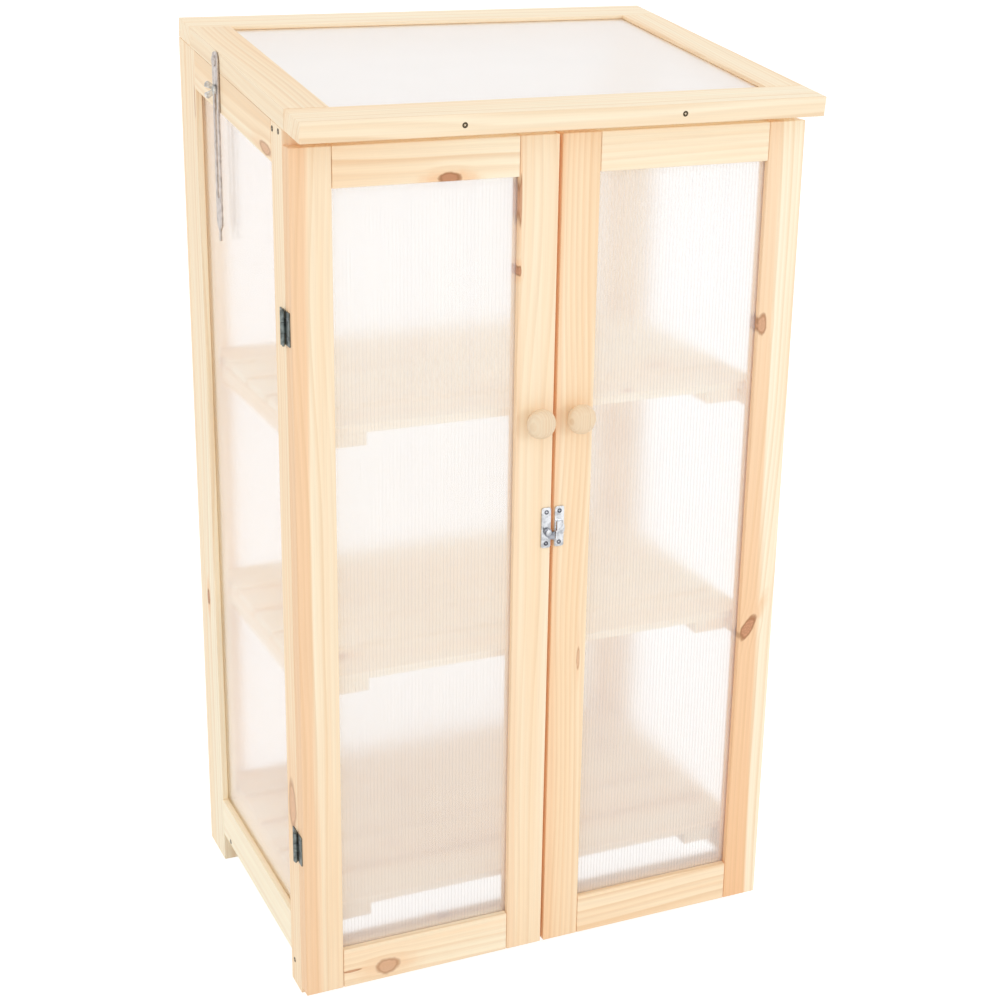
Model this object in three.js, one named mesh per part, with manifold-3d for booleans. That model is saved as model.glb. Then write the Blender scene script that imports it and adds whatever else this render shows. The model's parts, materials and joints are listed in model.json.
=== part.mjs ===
// A wooden mini greenhouse: a pine cabinet with clear twin-wall panels, two doors, a sloping
// lid on a slotted stay, and three slatted shelves that lie on cleats.
// Millimetres, +Z up, the doors face -Y. The origin is on the floor, in the middle of the
// whole object's box.
import * as THREE from 'three';
import { mergeVertices } from 'three/addons/utils/BufferGeometryUtils.js';
import Module from 'manifold-3d';

const wasm = await Module();
wasm.setup();

// The whole cabinet
const cabinetWidth = 600;
const sideDepth = 370;
const lidFrontHeight = 1000;
const lidOverhang = 36;
const lidPitchDegrees = 7.3;

// Timber, sheet and the gaps between them
const timber = 20;
const lidTimber = 22;
const panelThick = 4;
const grooveDepth = 8;
const grooveClearance = 0.3;
const jointGap = 0.3;
const metalSeat = 0.2;
const lidSeat = 0.5;
const overrun = 5;
const roundSteps = 24;

// Side frames and back frame
const frontPostWidth = 36;
const backPostWidth = 45;
const backStileWidth = 45;
const frameTopRail = 43;
const frameBottomRail = 50;
const bottomRailLift = 39;

// The boards that tie the side frames together behind the doors
const boardDepth = 40;
const sillLift = 21;

// Doors
const doorSeat = 1;
const doorMeetingGap = 4;
const doorFloorGap = 9;
const doorLidGap = 9;
const stileWidth = 45;
const doorTopRail = 43;
const doorBottomRail = 50;

// Lid
const lidFrontRail = 50;
const lidBackRail = 50;
const lidSideRail = 47;
const lidPanelRecess = 5;

// Shelves
const shelfCount = 3;
const lowestShelfTop = 104;
const shelfSpacing = 291;
const slatCount = 5;
const slatThick = 9;
const slatGap = 7.75;
const shelfFrontInset = 8;
const shelfBackInset = 6.3;
const shelfEndGap = 2;
const battenThick = 14;
const battenWidth = 40;
const battenInset = 30;
const battenBite = 0.5;
const cleatSize = 20;

// Knobs
const knobHeight = 679;
const knobRadius = 17;
const knobNeckRadius = 8.5;
const knobNeckLength = 8;
const knobHeadDepth = 19;
const knobEdgeDepth = 9;
const knobFaceShare = 0.62;

// Door and lid hinges: three knuckles, the pin fast in the frame leaf
const hingeThick = 1.2;
const knuckleRadius = 3;
const pinRadius = 1.4;
const pinClearance = 0.15;
const pinProud = 2;
const knuckleGap = 0.4;
const doorHingeHeight = 36;
const doorLeafWidth = 15;
const doorFrameLeafWidth = 16;
const doorHingeInset = 187;
const lidHingeHeight = 50;
const lidLeafWidth = 18;
const lidFrameLeafWidth = 22;
const lidHingeInset = 110;

// Latch on the doors' meeting stiles
const latchBelowKnob = 129;
const latchHeight = 48;
const latchPlateWidth = 11.5;
const latchPlateThick = 1.5;
const latchEdge = 0.4;
const latchCorner = 2.5;
const leverThick = 2;
const leverLift = 1.4;
const leverClearance = 0.3;
const leverRadius = 12.5;
const leverSide = 1;
const leverDrop = 1.5;
const leverEyeRadius = 4.5;
const leverHollowRadius = 12.7;
const leverHollowSide = 1;
const leverHollowRise = 8;
const leverPinRadius = 2;
const leverPinSide = 6.8;
const leverPinDrop = 4.5;
const leverHeadRadius = 3.4;
const leverHeadThick = 0.9;
const catchLugSide = 1.2;
const catchLugTop = 7.5;
const catchLugGap = 0.5;
const catchLugProud = 0.8;

// Lid stay and its wing screw, on the left only
const stayWidth = 20;
const stayThick = 2;
const stayGap = 1;
const stayTiltDegrees = 0.5;
const stayPivotBack = 229;
const stayPinRadius = 2.5;
const stayPinDepth = 10;
const stayPinHeadRadius = 6;
const stayPinHeadThick = 1.6;
const stayShoulder = 188;
const stayTipLength = 12;
const stayTipWidth = 5;
const studBack = 228;
const studBelowTop = 19;
const studRadius = 2;
const studDepth = 12;
const slotSideRoom = 2.2;
const slotEndRoom = 3.5;
const stayTravel = 117;
const wingCollarRadius = 5.5;
const wingCollarThick = 3;
const wingSpan = 19;
const wingReach = 9;
const wingThick = 2.4;
const wingRootWidth = 7;

// Places worked out from the sizes above
const lidPitch = THREE.MathUtils.degToRad(lidPitchDegrees);
const half = cabinetWidth / 2;
const innerHalf = half - timber;
const sideFront = timber + doorSeat;
const sideBack = sideFront + sideDepth;
const backFront = sideBack + jointGap;
const backFace = backFront + timber;
const bottomRailTop = bottomRailLift + frameBottomRail;
const doorTop = lidFrontHeight - doorLidGap;
const doorInner = doorMeetingGap / 2;
const stileMiddle = doorInner + stileWidth / 2;
const latchMiddle = knobHeight - latchBelowKnob;
const lidLength = (backFace + lidOverhang) / Math.cos(lidPitch);

// Height of the lid's underside, and of the frames' tops just below it, at a place y
const lidUnderAt = (y) => lidFrontHeight + (y + lidOverhang) * Math.tan(lidPitch);
const frameTopAt = (y) => lidUnderAt(y) - lidSeat;

// The lid hinges' axis is as far from the upright back face as from the lid's own back edge,
// which leans forward with the lid's pitch
const lidAxisReach = knuckleRadius + metalSeat;
const lidAxisY = backFace + lidAxisReach;
const lidAxisZ = lidUnderAt(backFace) + lidAxisReach * Math.tan(lidPitch / 2);

// The stay turns on a pivot half way up the lid's edge, and slides past the stud below it
const stayPivotY = sideFront + stayPivotBack;
const stayPivotZ = lidUnderAt(stayPivotY) + lidTimber / 2 / Math.cos(lidPitch);
const stayPivotAlong = (stayPivotY + lidOverhang) / Math.cos(lidPitch)
  + lidTimber / 2 * Math.tan(lidPitch);
const studY = sideFront + studBack;
const studZ = frameTopAt(studY) - studBelowTop;

// Materials, with the colours of the photograph
const finish = (color, roughness, metalness, opacity = 1) => () =>
  new THREE.MeshStandardMaterial({ color, roughness, metalness, opacity, transparent: opacity < 1 });
const pine = finish(0xe8c08c, 0.6, 0);
const palePine = finish(0xf0d3a6, 0.6, 0);
const clearSheet = finish(0xf4f1ec, 0.25, 0, 0.45);
const zinc = finish(0xb9b9b6, 0.4, 0.9);

// Turns a flat shape's own axes, and the way that it is drawn out, into the cabinet's axes
const X = new THREE.Vector3(1, 0, 0);
const Y = new THREE.Vector3(0, 1, 0);
const Z = new THREE.Vector3(0, 0, 1);
const shapeBases = { x: [Y, Z, X], z: [X, Y, Z], front: [X, Z, Y.clone().negate()] };

// A flat shape drawn out from low to high. Along x its points are (y, z) and along z they are
// (x, y). To the front they are (x, z), and low and high count outwards from the doors' faces.
function drawnOut(axis, low, high, shape) {
  const body = new THREE.ExtrudeGeometry(shape, {
    depth: high - low,
    bevelEnabled: false,
    curveSegments: roundSteps / 2,
  });
  body.translate(0, 0, low);
  return body.applyMatrix4(new THREE.Matrix4().makeBasis(...shapeBases[axis]));
}

const outline = (points) => new THREE.Shape(points.map(([u, v]) => new THREE.Vector2(u, v)));

// A block between two opposite corners
function block([x0, y0, z0], [x1, y1, z1]) {
  return drawnOut('x', x0, x1, outline([[y0, z0], [y1, z0], [y1, z1], [y0, z1]]));
}

// A round bar along an axis, from low to high, about a point given as drawnOut's points are
function roundBar(axis, low, high, [u, v], radius) {
  const section = new THREE.Shape().absarc(u, v, radius, 0, 2 * Math.PI);
  return drawnOut(axis, low, high, section);
}

// Closed geometry to a solid for cutting and joining, and back
function solid(geometry) {
  const bare = geometry.clone();
  bare.deleteAttribute('normal');
  bare.deleteAttribute('uv');
  const merged = mergeVertices(bare);
  return new wasm.Manifold(new wasm.Mesh({
    numProp: 3,
    vertProperties: merged.attributes.position.array,
    triVerts: new Uint32Array(merged.index.array),
  }));
}

function geometryOf(cut) {
  const mesh = cut.getMesh();
  const geometry = new THREE.BufferGeometry();
  geometry.setAttribute('position', new THREE.BufferAttribute(mesh.vertProperties, 3));
  geometry.setIndex(new THREE.BufferAttribute(mesh.triVerts, 1));
  geometry.computeVertexNormals();
  return geometry;
}

function joined(...geometries) {
  return geometryOf(geometries.map(solid).reduce((whole, piece) => whole.add(piece)));
}

function cutFrom(geometry, ...tools) {
  return geometryOf(tools.map(solid).reduce((rest, tool) => rest.subtract(tool), solid(geometry)));
}

function common(...geometries) {
  return geometryOf(geometries.map(solid).reduce((shared, piece) => shared.intersect(piece)));
}

const greenhouse = new THREE.Group();

function addPiece(name, geometry, material, parent = greenhouse) {
  const mesh = new THREE.Mesh(geometry, material());
  mesh.name = name;
  parent.add(mesh);
  return mesh;
}

// Side frames. A side's members lie between its outer and inner faces, given as x.
function addSideFrame(side, x0, x1) {
  const panelMiddle = (x0 + x1) / 2;
  const postBack = sideFront + frontPostWidth;
  const postFront = sideBack - backPostWidth;

  function sheet(room) {
    const front = postBack - grooveDepth - room;
    const back = postFront + grooveDepth + room;
    const bottom = bottomRailTop - grooveDepth - room;
    const topAt = (y) => frameTopAt(y) - frameTopRail + grooveDepth + room;
    const reach = panelThick / 2 + room;
    return drawnOut('x', panelMiddle - reach, panelMiddle + reach,
      outline([[front, bottom], [back, bottom], [back, topAt(back)], [front, topAt(front)]]));
  }

  function member(part, y0, y1, bottomAt, topAt) {
    const wood = drawnOut('x', x0, x1,
      outline([[y0, bottomAt(y0)], [y1, bottomAt(y1)], [y1, topAt(y1)], [y0, topAt(y0)]]));
    const bores = side === 'left' && part === 'top_rail' ? [studBore()] : [];
    addPiece(`${side}_side_${part}`, cutFrom(wood, sheet(grooveClearance), ...bores), pine);
  }

  const floor = () => 0;
  const railTop = () => bottomRailTop;
  member('front_post', sideFront, postBack, floor, frameTopAt);
  member('back_post', postFront, sideBack, floor, frameTopAt);
  member('top_rail', postBack + jointGap, postFront - jointGap,
    (y) => frameTopAt(y) - frameTopRail, frameTopAt);
  member('bottom_rail', postBack + jointGap, postFront - jointGap, () => bottomRailLift, railTop);
  addPiece(`${side}_side_panel`, sheet(0), clearSheet);
}

// The hole for the wing screw in the left side's top rail
function studBore() {
  return roundBar('x', -half - overrun, -half + studDepth + grooveClearance,
    [studY, studZ], studRadius + grooveClearance);
}

// Back frame, over the side frames' back edges
function addBackFrame() {
  const middle = (backFront + backFace) / 2;
  const stileInner = half - backStileWidth;
  const topRailUnder = frameTopAt(backFront) - frameTopRail;

  function sheet(room) {
    const reach = panelThick / 2 + room;
    const across = stileInner + grooveDepth + room;
    return block([-across, middle - reach, bottomRailTop - grooveDepth - room],
      [across, middle + reach, topRailUnder + grooveDepth + room]);
  }

  function member(part, x0, x1, bottom, topAt) {
    const wood = drawnOut('x', x0, x1, outline([[backFront, bottom], [backFace, bottom],
      [backFace, topAt(backFace)], [backFront, topAt(backFront)]]));
    addPiece(`back_${part}`, cutFrom(wood, sheet(grooveClearance)), pine);
  }

  member('left_stile', -half, -stileInner, 0, frameTopAt);
  member('right_stile', stileInner, half, 0, frameTopAt);
  member('top_rail', -stileInner + jointGap, stileInner - jointGap, topRailUnder, frameTopAt);
  member('bottom_rail', -stileInner + jointGap, stileInner - jointGap, bottomRailLift,
    () => bottomRailTop);
  addPiece('back_panel', sheet(0), clearSheet);
}

// Header and sill, lying flat between the side frames behind the doors
function addFrontBoards() {
  const reach = innerHalf - jointGap;
  const headerTop = frameTopAt(sideFront);
  addPiece('front_header', block([-reach, sideFront, headerTop - timber],
    [reach, sideFront + boardDepth, headerTop]), pine);
  addPiece('front_sill', block([-reach, sideFront, sillLift],
    [reach, sideFront + boardDepth, sillLift + timber]), pine);
}

// Shelves, each of slats across the cabinet on two battens, and a pair of cleats below each
function addShelf(place, top) {
  const slatUnder = top - slatThick;
  const front = sideFront + shelfFrontInset;
  const back = sideBack - shelfBackInset;
  const slatWidth = (back - front - (slatCount - 1) * slatGap) / slatCount;
  const reach = innerHalf - shelfEndGap;
  const battenOuter = innerHalf - battenInset;
  const boards = [];
  for (let slat = 0; slat < slatCount; slat += 1) {
    const y = front + slat * (slatWidth + slatGap);
    boards.push(block([-reach, y, slatUnder], [reach, y + slatWidth, top]));
  }
  for (const x of [-battenOuter, battenOuter - battenWidth]) {
    boards.push(block([x, front, slatUnder - battenThick],
      [x + battenWidth, back, slatUnder + battenBite]));
  }
  addPiece(`${place}_shelf`, joined(...boards), palePine);

  const cleatTop = slatUnder - jointGap;
  const cleatBack = sideBack - jointGap;
  for (const [side, x] of [['left', -innerHalf + jointGap], ['right', innerHalf - jointGap - cleatSize]]) {
    addPiece(`${side}_${place}_cleat`, block([x, front, cleatTop - cleatSize],
      [x + cleatSize, cleatBack, cleatTop]), pine);
  }
}

function addShelves() {
  const places = ['bottom', 'middle', 'top'];
  for (let shelf = 0; shelf < shelfCount; shelf += 1) {
    addShelf(places[shelf], lowestShelfTop + shelf * shelfSpacing);
  }
}

// Doors: two stiles the full height with the rails between them
function addDoor(side, sign) {
  const middle = timber / 2;
  const hingeInner = half - stileWidth;
  const meetingInner = doorInner + stileWidth;
  const railTop = doorFloorGap + doorBottomRail;
  const railUnder = doorTop - doorTopRail;

  // Points from the cabinet's middle outwards, turned to this door's side
  function between(from, to, front, back, bottom, top) {
    const [x0, x1] = [sign * from, sign * to].sort((a, b) => a - b);
    return block([x0, front, bottom], [x1, back, top]);
  }

  function sheet(room) {
    const reach = panelThick / 2 + room;
    return between(meetingInner - grooveDepth - room, hingeInner + grooveDepth + room,
      middle - reach, middle + reach,
      railTop - grooveDepth - room, railUnder + grooveDepth + room);
  }

  function member(part, from, to, bottom, top) {
    const wood = between(from, to, 0, timber, bottom, top);
    addPiece(`${side}_door_${part}`, cutFrom(wood, sheet(grooveClearance)), palePine);
  }

  member('hinge_stile', hingeInner, half, doorFloorGap, doorTop);
  member('meeting_stile', doorInner, meetingInner, doorFloorGap, doorTop);
  member('top_rail', meetingInner + jointGap, hingeInner - jointGap, railUnder, doorTop);
  member('bottom_rail', meetingInner + jointGap, hingeInner - jointGap, doorFloorGap, railTop);
  addPiece(`${side}_door_panel`, sheet(0), clearSheet);

  const knob = addPiece(`${side}_door_knob`, knobGeometry(), palePine);
  knob.position.set(sign * stileMiddle, -jointGap, knobHeight);
  knob.rotation.x = Math.PI;
}

// A turned knob, its profile going out from the axis along the neck and over the head
function knobGeometry() {
  const edge = knobNeckLength + knobEdgeDepth;
  const top = knobNeckLength + knobHeadDepth;
  const profile = new THREE.Path()
    .moveTo(0, 0)
    .lineTo(knobNeckRadius, 0)
    .lineTo(knobNeckRadius, knobNeckLength)
    .quadraticCurveTo(knobRadius, knobNeckLength, knobRadius, edge)
    .bezierCurveTo(knobRadius, top - knobEdgeDepth / 2, knobRadius * knobFaceShare, top, 0, top);
  return new THREE.LatheGeometry(profile.getPoints(roundSteps / 3), roundSteps);
}

// Hinge leaves. The pin's axis is Z, the wood is towards +X, the moving leaf lies towards -Y
// and the frame leaf towards +Y.
const knuckleLengthOf = (height) => (height - 2 * knuckleGap) / 3;

function leafBlank(height, width, toward, knuckles) {
  const face = [knuckleRadius - hingeThick, knuckleRadius];
  const plateStart = knuckleRadius + knuckleGap;
  const strip = (y0, y1, z0, z1) => {
    const [low, high] = [toward * y0, toward * y1].sort((a, b) => a - b);
    return block([face[0], low, z0], [face[1], high, z1]);
  };
  const pieces = [strip(plateStart, width, -height / 2, height / 2)];
  for (const [z0, z1] of knuckles) {
    pieces.push(roundBar('z', z0, z1, [0, 0], knuckleRadius));
    pieces.push(strip(0, plateStart + hingeThick, z0, z1));
  }
  return pieces;
}

function movingLeaf(height, width) {
  const reach = knuckleLengthOf(height) / 2;
  const bore = roundBar('z', -height, height, [0, 0], pinRadius + pinClearance);
  return cutFrom(joined(...leafBlank(height, width, -1, [[-reach, reach]])), bore);
}

function frameLeaf(height, width) {
  const reach = knuckleLengthOf(height) / 2 + knuckleGap;
  const pinReach = height / 2 + pinProud;
  const pin = roundBar('z', -pinReach, pinReach, [0, 0], pinRadius);
  return joined(...leafBlank(height, width, 1,
    [[-height / 2, -reach], [reach, height / 2]]), pin);
}

function addDoorHinges(side, sign) {
  const reach = knuckleRadius + metalSeat;
  const places = { lower: doorFloorGap + doorHingeInset, upper: doorTop - doorHingeInset };
  for (const [place, z] of Object.entries(places)) {
    const hinge = new THREE.Group();
    hinge.position.set(sign * (half + reach), timber + doorSeat / 2, z);
    hinge.rotation.y = sign > 0 ? Math.PI : 0;
    greenhouse.add(hinge);
    addPiece(`${side}_${place}_hinge_door_leaf`, movingLeaf(doorHingeHeight, doorLeafWidth),
      zinc, hinge);
    addPiece(`${side}_${place}_hinge_frame_leaf`, frameLeaf(doorHingeHeight, doorFrameLeafWidth),
      zinc, hinge);
  }
}

// Lid hinges, on the back: the frame leaf hangs down the back face, the lid leaf lies on the
// lid's back edge
function addLidHinges() {
  for (const [side, sign] of [['left', -1], ['right', 1]]) {
    const x = sign * (half - lidHingeInset);
    for (const [part, lean] of [['frame', 0], ['lid', lidPitch]]) {
      const tilted = new THREE.Group();
      tilted.position.set(x, lidAxisY, lidAxisZ);
      tilted.rotation.x = lean;
      greenhouse.add(tilted);
      const geometry = part === 'lid'
        ? movingLeaf(lidHingeHeight, lidLeafWidth)
        : frameLeaf(lidHingeHeight, lidFrameLeafWidth);
      geometry.applyMatrix4(new THREE.Matrix4().makeBasis(
        Y.clone().negate(), Z.clone().negate(), X));
      addPiece(`${side}_lid_hinge_${part}_leaf`, geometry, zinc, tilted);
    }
  }
}

// Lid, built flat in a group that is then pitched about its lower front edge
function addLid() {
  const lid = new THREE.Group();
  lid.position.set(0, -lidOverhang, lidFrontHeight);
  lid.rotation.x = lidPitch;
  greenhouse.add(lid);

  const sideInner = half - lidSideRail;
  const railBack = lidLength - lidBackRail;
  const sheetTop = lidTimber - lidPanelRecess;

  function sheet(room) {
    return block(
      [-sideInner - grooveDepth - room, lidFrontRail - grooveDepth - room, sheetTop - panelThick - room],
      [sideInner + grooveDepth + room, railBack + grooveDepth + room, sheetTop + room]);
  }

  function member(part, x0, x1, y0, y1, ...bores) {
    const wood = block([x0, y0, 0], [x1, y1, lidTimber]);
    addPiece(`lid_${part}`, cutFrom(wood, sheet(grooveClearance), ...bores), pine, lid);
  }

  const pinBore = roundBar('x', -half - overrun, -half + stayPinDepth + grooveClearance,
    [stayPivotAlong, lidTimber / 2], stayPinRadius + grooveClearance);
  member('front_rail', -half, half, 0, lidFrontRail);
  member('back_rail', -half, half, railBack, lidLength);
  member('left_rail', -half, -sideInner, lidFrontRail + jointGap, railBack - jointGap, pinBore);
  member('right_rail', sideInner, half, lidFrontRail + jointGap, railBack - jointGap);
  addPiece('lid_panel', sheet(0), clearSheet, lid);
}

// Lid stay: a flat bar hanging from its pivot, slotted for the wing screw's stud
function addStay() {
  const stay = new THREE.Group();
  stay.position.set(-half - stayGap, stayPivotY, stayPivotZ);
  stay.rotation.x = THREE.MathUtils.degToRad(stayTiltDegrees);
  greenhouse.add(stay);

  const reach = stayWidth / 2;
  const neck = stayTipWidth / 2;
  const bar = new THREE.Shape()
    .moveTo(reach, 0)
    .absarc(0, 0, reach, 0, Math.PI)
    .lineTo(-reach, -stayShoulder + reach - neck)
    .lineTo(-neck, -stayShoulder)
    .lineTo(-neck, -stayShoulder - stayTipLength + neck)
    .absarc(0, -stayShoulder - stayTipLength + neck, neck, Math.PI, 2 * Math.PI)
    .lineTo(neck, -stayShoulder)
    .lineTo(reach, -stayShoulder + reach - neck);

  const slotReach = studRadius + slotSideRoom;
  const slotTop = studZ - stayPivotZ + slotEndRoom - slotReach;
  const slotFoot = studZ - stayPivotZ - stayTravel - slotEndRoom + slotReach;
  const slot = new THREE.Path()
    .moveTo(slotReach, slotFoot)
    .lineTo(slotReach, slotTop)
    .absarc(0, slotTop, slotReach, 0, Math.PI)
    .lineTo(-slotReach, slotFoot)
    .absarc(0, slotFoot, slotReach, Math.PI, 2 * Math.PI);
  bar.holes.push(slot);

  const pin = roundBar('x', -stayThick / 2, stayGap + stayPinDepth, [0, 0], stayPinRadius);
  const head = roundBar('x', -stayThick - stayPinHeadThick, -stayThick / 2, [0, 0],
    stayPinHeadRadius);
  addPiece('lid_stay', joined(drawnOut('x', -stayThick, 0, bar), pin, head), zinc, stay);
}

// Wing screw: a stud through the slot into the side frame, a collar over the bar and two wings
function addWingScrew() {
  const collarFace = -half - stayGap - stayThick - metalSeat;
  const wingBase = collarFace - wingCollarThick;
  const wingTip = wingBase - wingReach;
  const root = wingRootWidth / 2;
  const span = wingSpan / 2;
  const wings = new THREE.Shape()
    .moveTo(collarFace, studZ - root)
    .lineTo(collarFace, studZ + root)
    .lineTo(wingBase - wingReach / 2, studZ + span)
    .quadraticCurveTo(wingTip, studZ + span, wingTip, studZ + root)
    .lineTo(wingBase, studZ)
    .lineTo(wingTip, studZ - root)
    .quadraticCurveTo(wingTip, studZ - span, wingBase - wingReach / 2, studZ - span);
  addPiece('stay_wing_screw', joined(
    roundBar('x', wingBase, collarFace, [studY, studZ], wingCollarRadius),
    roundBar('x', wingBase, -half + studDepth, [studY, studZ], studRadius),
    drawnOut('front', -studY - wingThick / 2, -studY + wingThick / 2, wings)), zinc);
}

// Latch: the plate and the crescent lever on the left door, the catch on the right door. The
// lever ends at the doors' meeting line, where the catch's raised guide takes up its curve.
function addLatch() {
  const inner = doorInner + latchEdge;
  const outer = inner + latchPlateWidth;
  const plateFace = metalSeat + latchPlateThick;
  const leverNear = plateFace + leverLift;
  const leverFar = leverNear + leverThick;
  const pinPlace = [-leverPinSide, latchMiddle - leverPinDrop];
  const hollowPlace = [-leverHollowSide, latchMiddle + leverHollowRise];

  function disc(near, far, [x, z], radius) {
    return drawnOut('front', near, far, new THREE.Shape().absarc(x, z, radius, 0, 2 * Math.PI));
  }

  function plate(sign) {
    const [x0, x1] = [sign * inner, sign * outer].sort((a, b) => a - b);
    const [z0, z1] = [latchMiddle - latchHeight / 2, latchMiddle + latchHeight / 2];
    const face = new THREE.Shape()
      .moveTo(x0 + latchCorner, z0)
      .lineTo(x1 - latchCorner, z0)
      .absarc(x1 - latchCorner, z0 + latchCorner, latchCorner, -Math.PI / 2, 0)
      .lineTo(x1, z1 - latchCorner)
      .absarc(x1 - latchCorner, z1 - latchCorner, latchCorner, 0, Math.PI / 2)
      .lineTo(x0 + latchCorner, z1)
      .absarc(x0 + latchCorner, z1 - latchCorner, latchCorner, Math.PI / 2, Math.PI)
      .lineTo(x0, z0 + latchCorner)
      .absarc(x0 + latchCorner, z0 + latchCorner, latchCorner, Math.PI, 3 * Math.PI / 2);
    return drawnOut('front', metalSeat, plateFace, face);
  }

  // What lies between two places x, from near to far off the doors
  function between(x0, x1, near, far, bottom, top) {
    return block([x0, -far, bottom], [x1, -near, top]);
  }

  function crescent(near) {
    const round = disc(near, leverFar, [leverSide, latchMiddle - leverDrop], leverRadius);
    return cutFrom(round, disc(0, leverFar + overrun, hollowPlace, leverHollowRadius));
  }

  const [low, high] = [latchMiddle - latchHeight, latchMiddle + latchHeight];
  const lever = joined(crescent(leverNear), disc(leverNear, leverFar, pinPlace, leverEyeRadius));
  addPiece('latch_lever', cutFrom(lever,
    disc(0, leverFar + overrun, pinPlace, leverPinRadius + pinClearance),
    between(doorInner - latchEdge, outer + overrun, 0, leverFar + overrun, low, high)), zinc);

  const headNear = leverFar + leverClearance;
  addPiece('latch_plate', joined(plate(-1),
    disc(metalSeat, leverNear - leverClearance, pinPlace, leverHeadRadius),
    disc(metalSeat, headNear + leverHeadThick, pinPlace, leverPinRadius),
    disc(headNear, headNear + leverHeadThick, pinPlace, leverHeadRadius)), zinc);

  const guide = common(crescent(metalSeat), between(inner, outer, 0, leverFar, low, high));
  const lug = common(
    disc(metalSeat, leverFar + catchLugProud, hollowPlace, leverHollowRadius - catchLugGap),
    between(inner + catchLugSide, outer, 0, leverFar + overrun, low, latchMiddle + catchLugTop));
  addPiece('latch_catch', joined(plate(1), guide, lug), zinc);
}

addSideFrame('left', -half, -innerHalf);
addSideFrame('right', innerHalf, half);
addBackFrame();
addFrontBoards();
addShelves();
addDoor('left', -1);
addDoor('right', 1);
addDoorHinges('left', -1);
addDoorHinges('right', 1);
addLatch();
addLid();
addLidHinges();
addStay();
addWingScrew();

// The origin goes to the floor, in the middle of the whole object's box
const box = new THREE.Box3().setFromObject(greenhouse, true);
const middle = box.getCenter(new THREE.Vector3());
greenhouse.position.set(-middle.x, -middle.y, -box.min.z);

export default greenhouse;
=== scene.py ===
"""A wooden mini greenhouse: pine frames, hollow clear sheet, slatted shelves and zinc hardware.

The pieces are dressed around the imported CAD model. Lengths are metres in the CAD model's own frame: +Z up,
the doors face -Y, and the origin is on the floor in the middle of the object's box.
"""

import json
import logging
import math
import random
from dataclasses import dataclass, field
from enum import Enum
from typing import Any, Sequence

import bmesh
import bpy
import numpy as np
from mathutils import Matrix, Vector

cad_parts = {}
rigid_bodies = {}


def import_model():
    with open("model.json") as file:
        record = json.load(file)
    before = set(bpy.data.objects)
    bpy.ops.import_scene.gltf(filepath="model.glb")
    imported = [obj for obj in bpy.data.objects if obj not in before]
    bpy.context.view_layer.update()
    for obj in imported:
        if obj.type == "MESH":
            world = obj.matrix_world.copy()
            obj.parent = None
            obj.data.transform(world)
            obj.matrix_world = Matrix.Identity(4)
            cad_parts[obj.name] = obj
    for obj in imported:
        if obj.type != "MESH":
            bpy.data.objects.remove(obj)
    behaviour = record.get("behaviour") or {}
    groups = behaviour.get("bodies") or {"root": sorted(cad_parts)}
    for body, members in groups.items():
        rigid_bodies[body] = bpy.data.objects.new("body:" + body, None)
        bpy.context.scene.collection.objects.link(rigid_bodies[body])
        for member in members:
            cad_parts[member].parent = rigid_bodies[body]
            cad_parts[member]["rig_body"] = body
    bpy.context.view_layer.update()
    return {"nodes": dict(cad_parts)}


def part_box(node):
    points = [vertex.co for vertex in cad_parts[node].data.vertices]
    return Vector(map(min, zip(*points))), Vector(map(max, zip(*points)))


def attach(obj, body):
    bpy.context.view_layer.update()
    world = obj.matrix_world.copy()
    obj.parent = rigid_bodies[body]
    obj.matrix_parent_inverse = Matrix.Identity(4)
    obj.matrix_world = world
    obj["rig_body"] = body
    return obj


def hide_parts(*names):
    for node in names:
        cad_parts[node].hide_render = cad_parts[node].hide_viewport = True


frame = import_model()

Colour = tuple[float, float, float]
Point = tuple[float, float, float]
Socket = bpy.types.NodeSocket

LOG = logging.getLogger("greenhouse")
MM = 0.001
WELD = 1e-6
FLAT_ANGLE = math.radians(1)
SHARP_ANGLE = math.radians(35)
LID_PITCH = math.radians(7.3)
FAR_AWAY = 50.0
STAY_EASE = 0.35 * MM


class Slot(Enum):
    """The record's material slots."""

    PINE = "pine"
    PALE_PINE = "pale_pine"
    SHEET = "clear_sheet"
    ZINC = "zinc"
    STEEL = "black_steel"


class Side(Enum):
    """The cabinet's two sides, with the way that each lies along X."""

    LEFT = -1
    RIGHT = 1

    @property
    def word(self) -> str:
        """The side's name in node names."""
        return self.name.lower()


# Node trees


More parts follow.
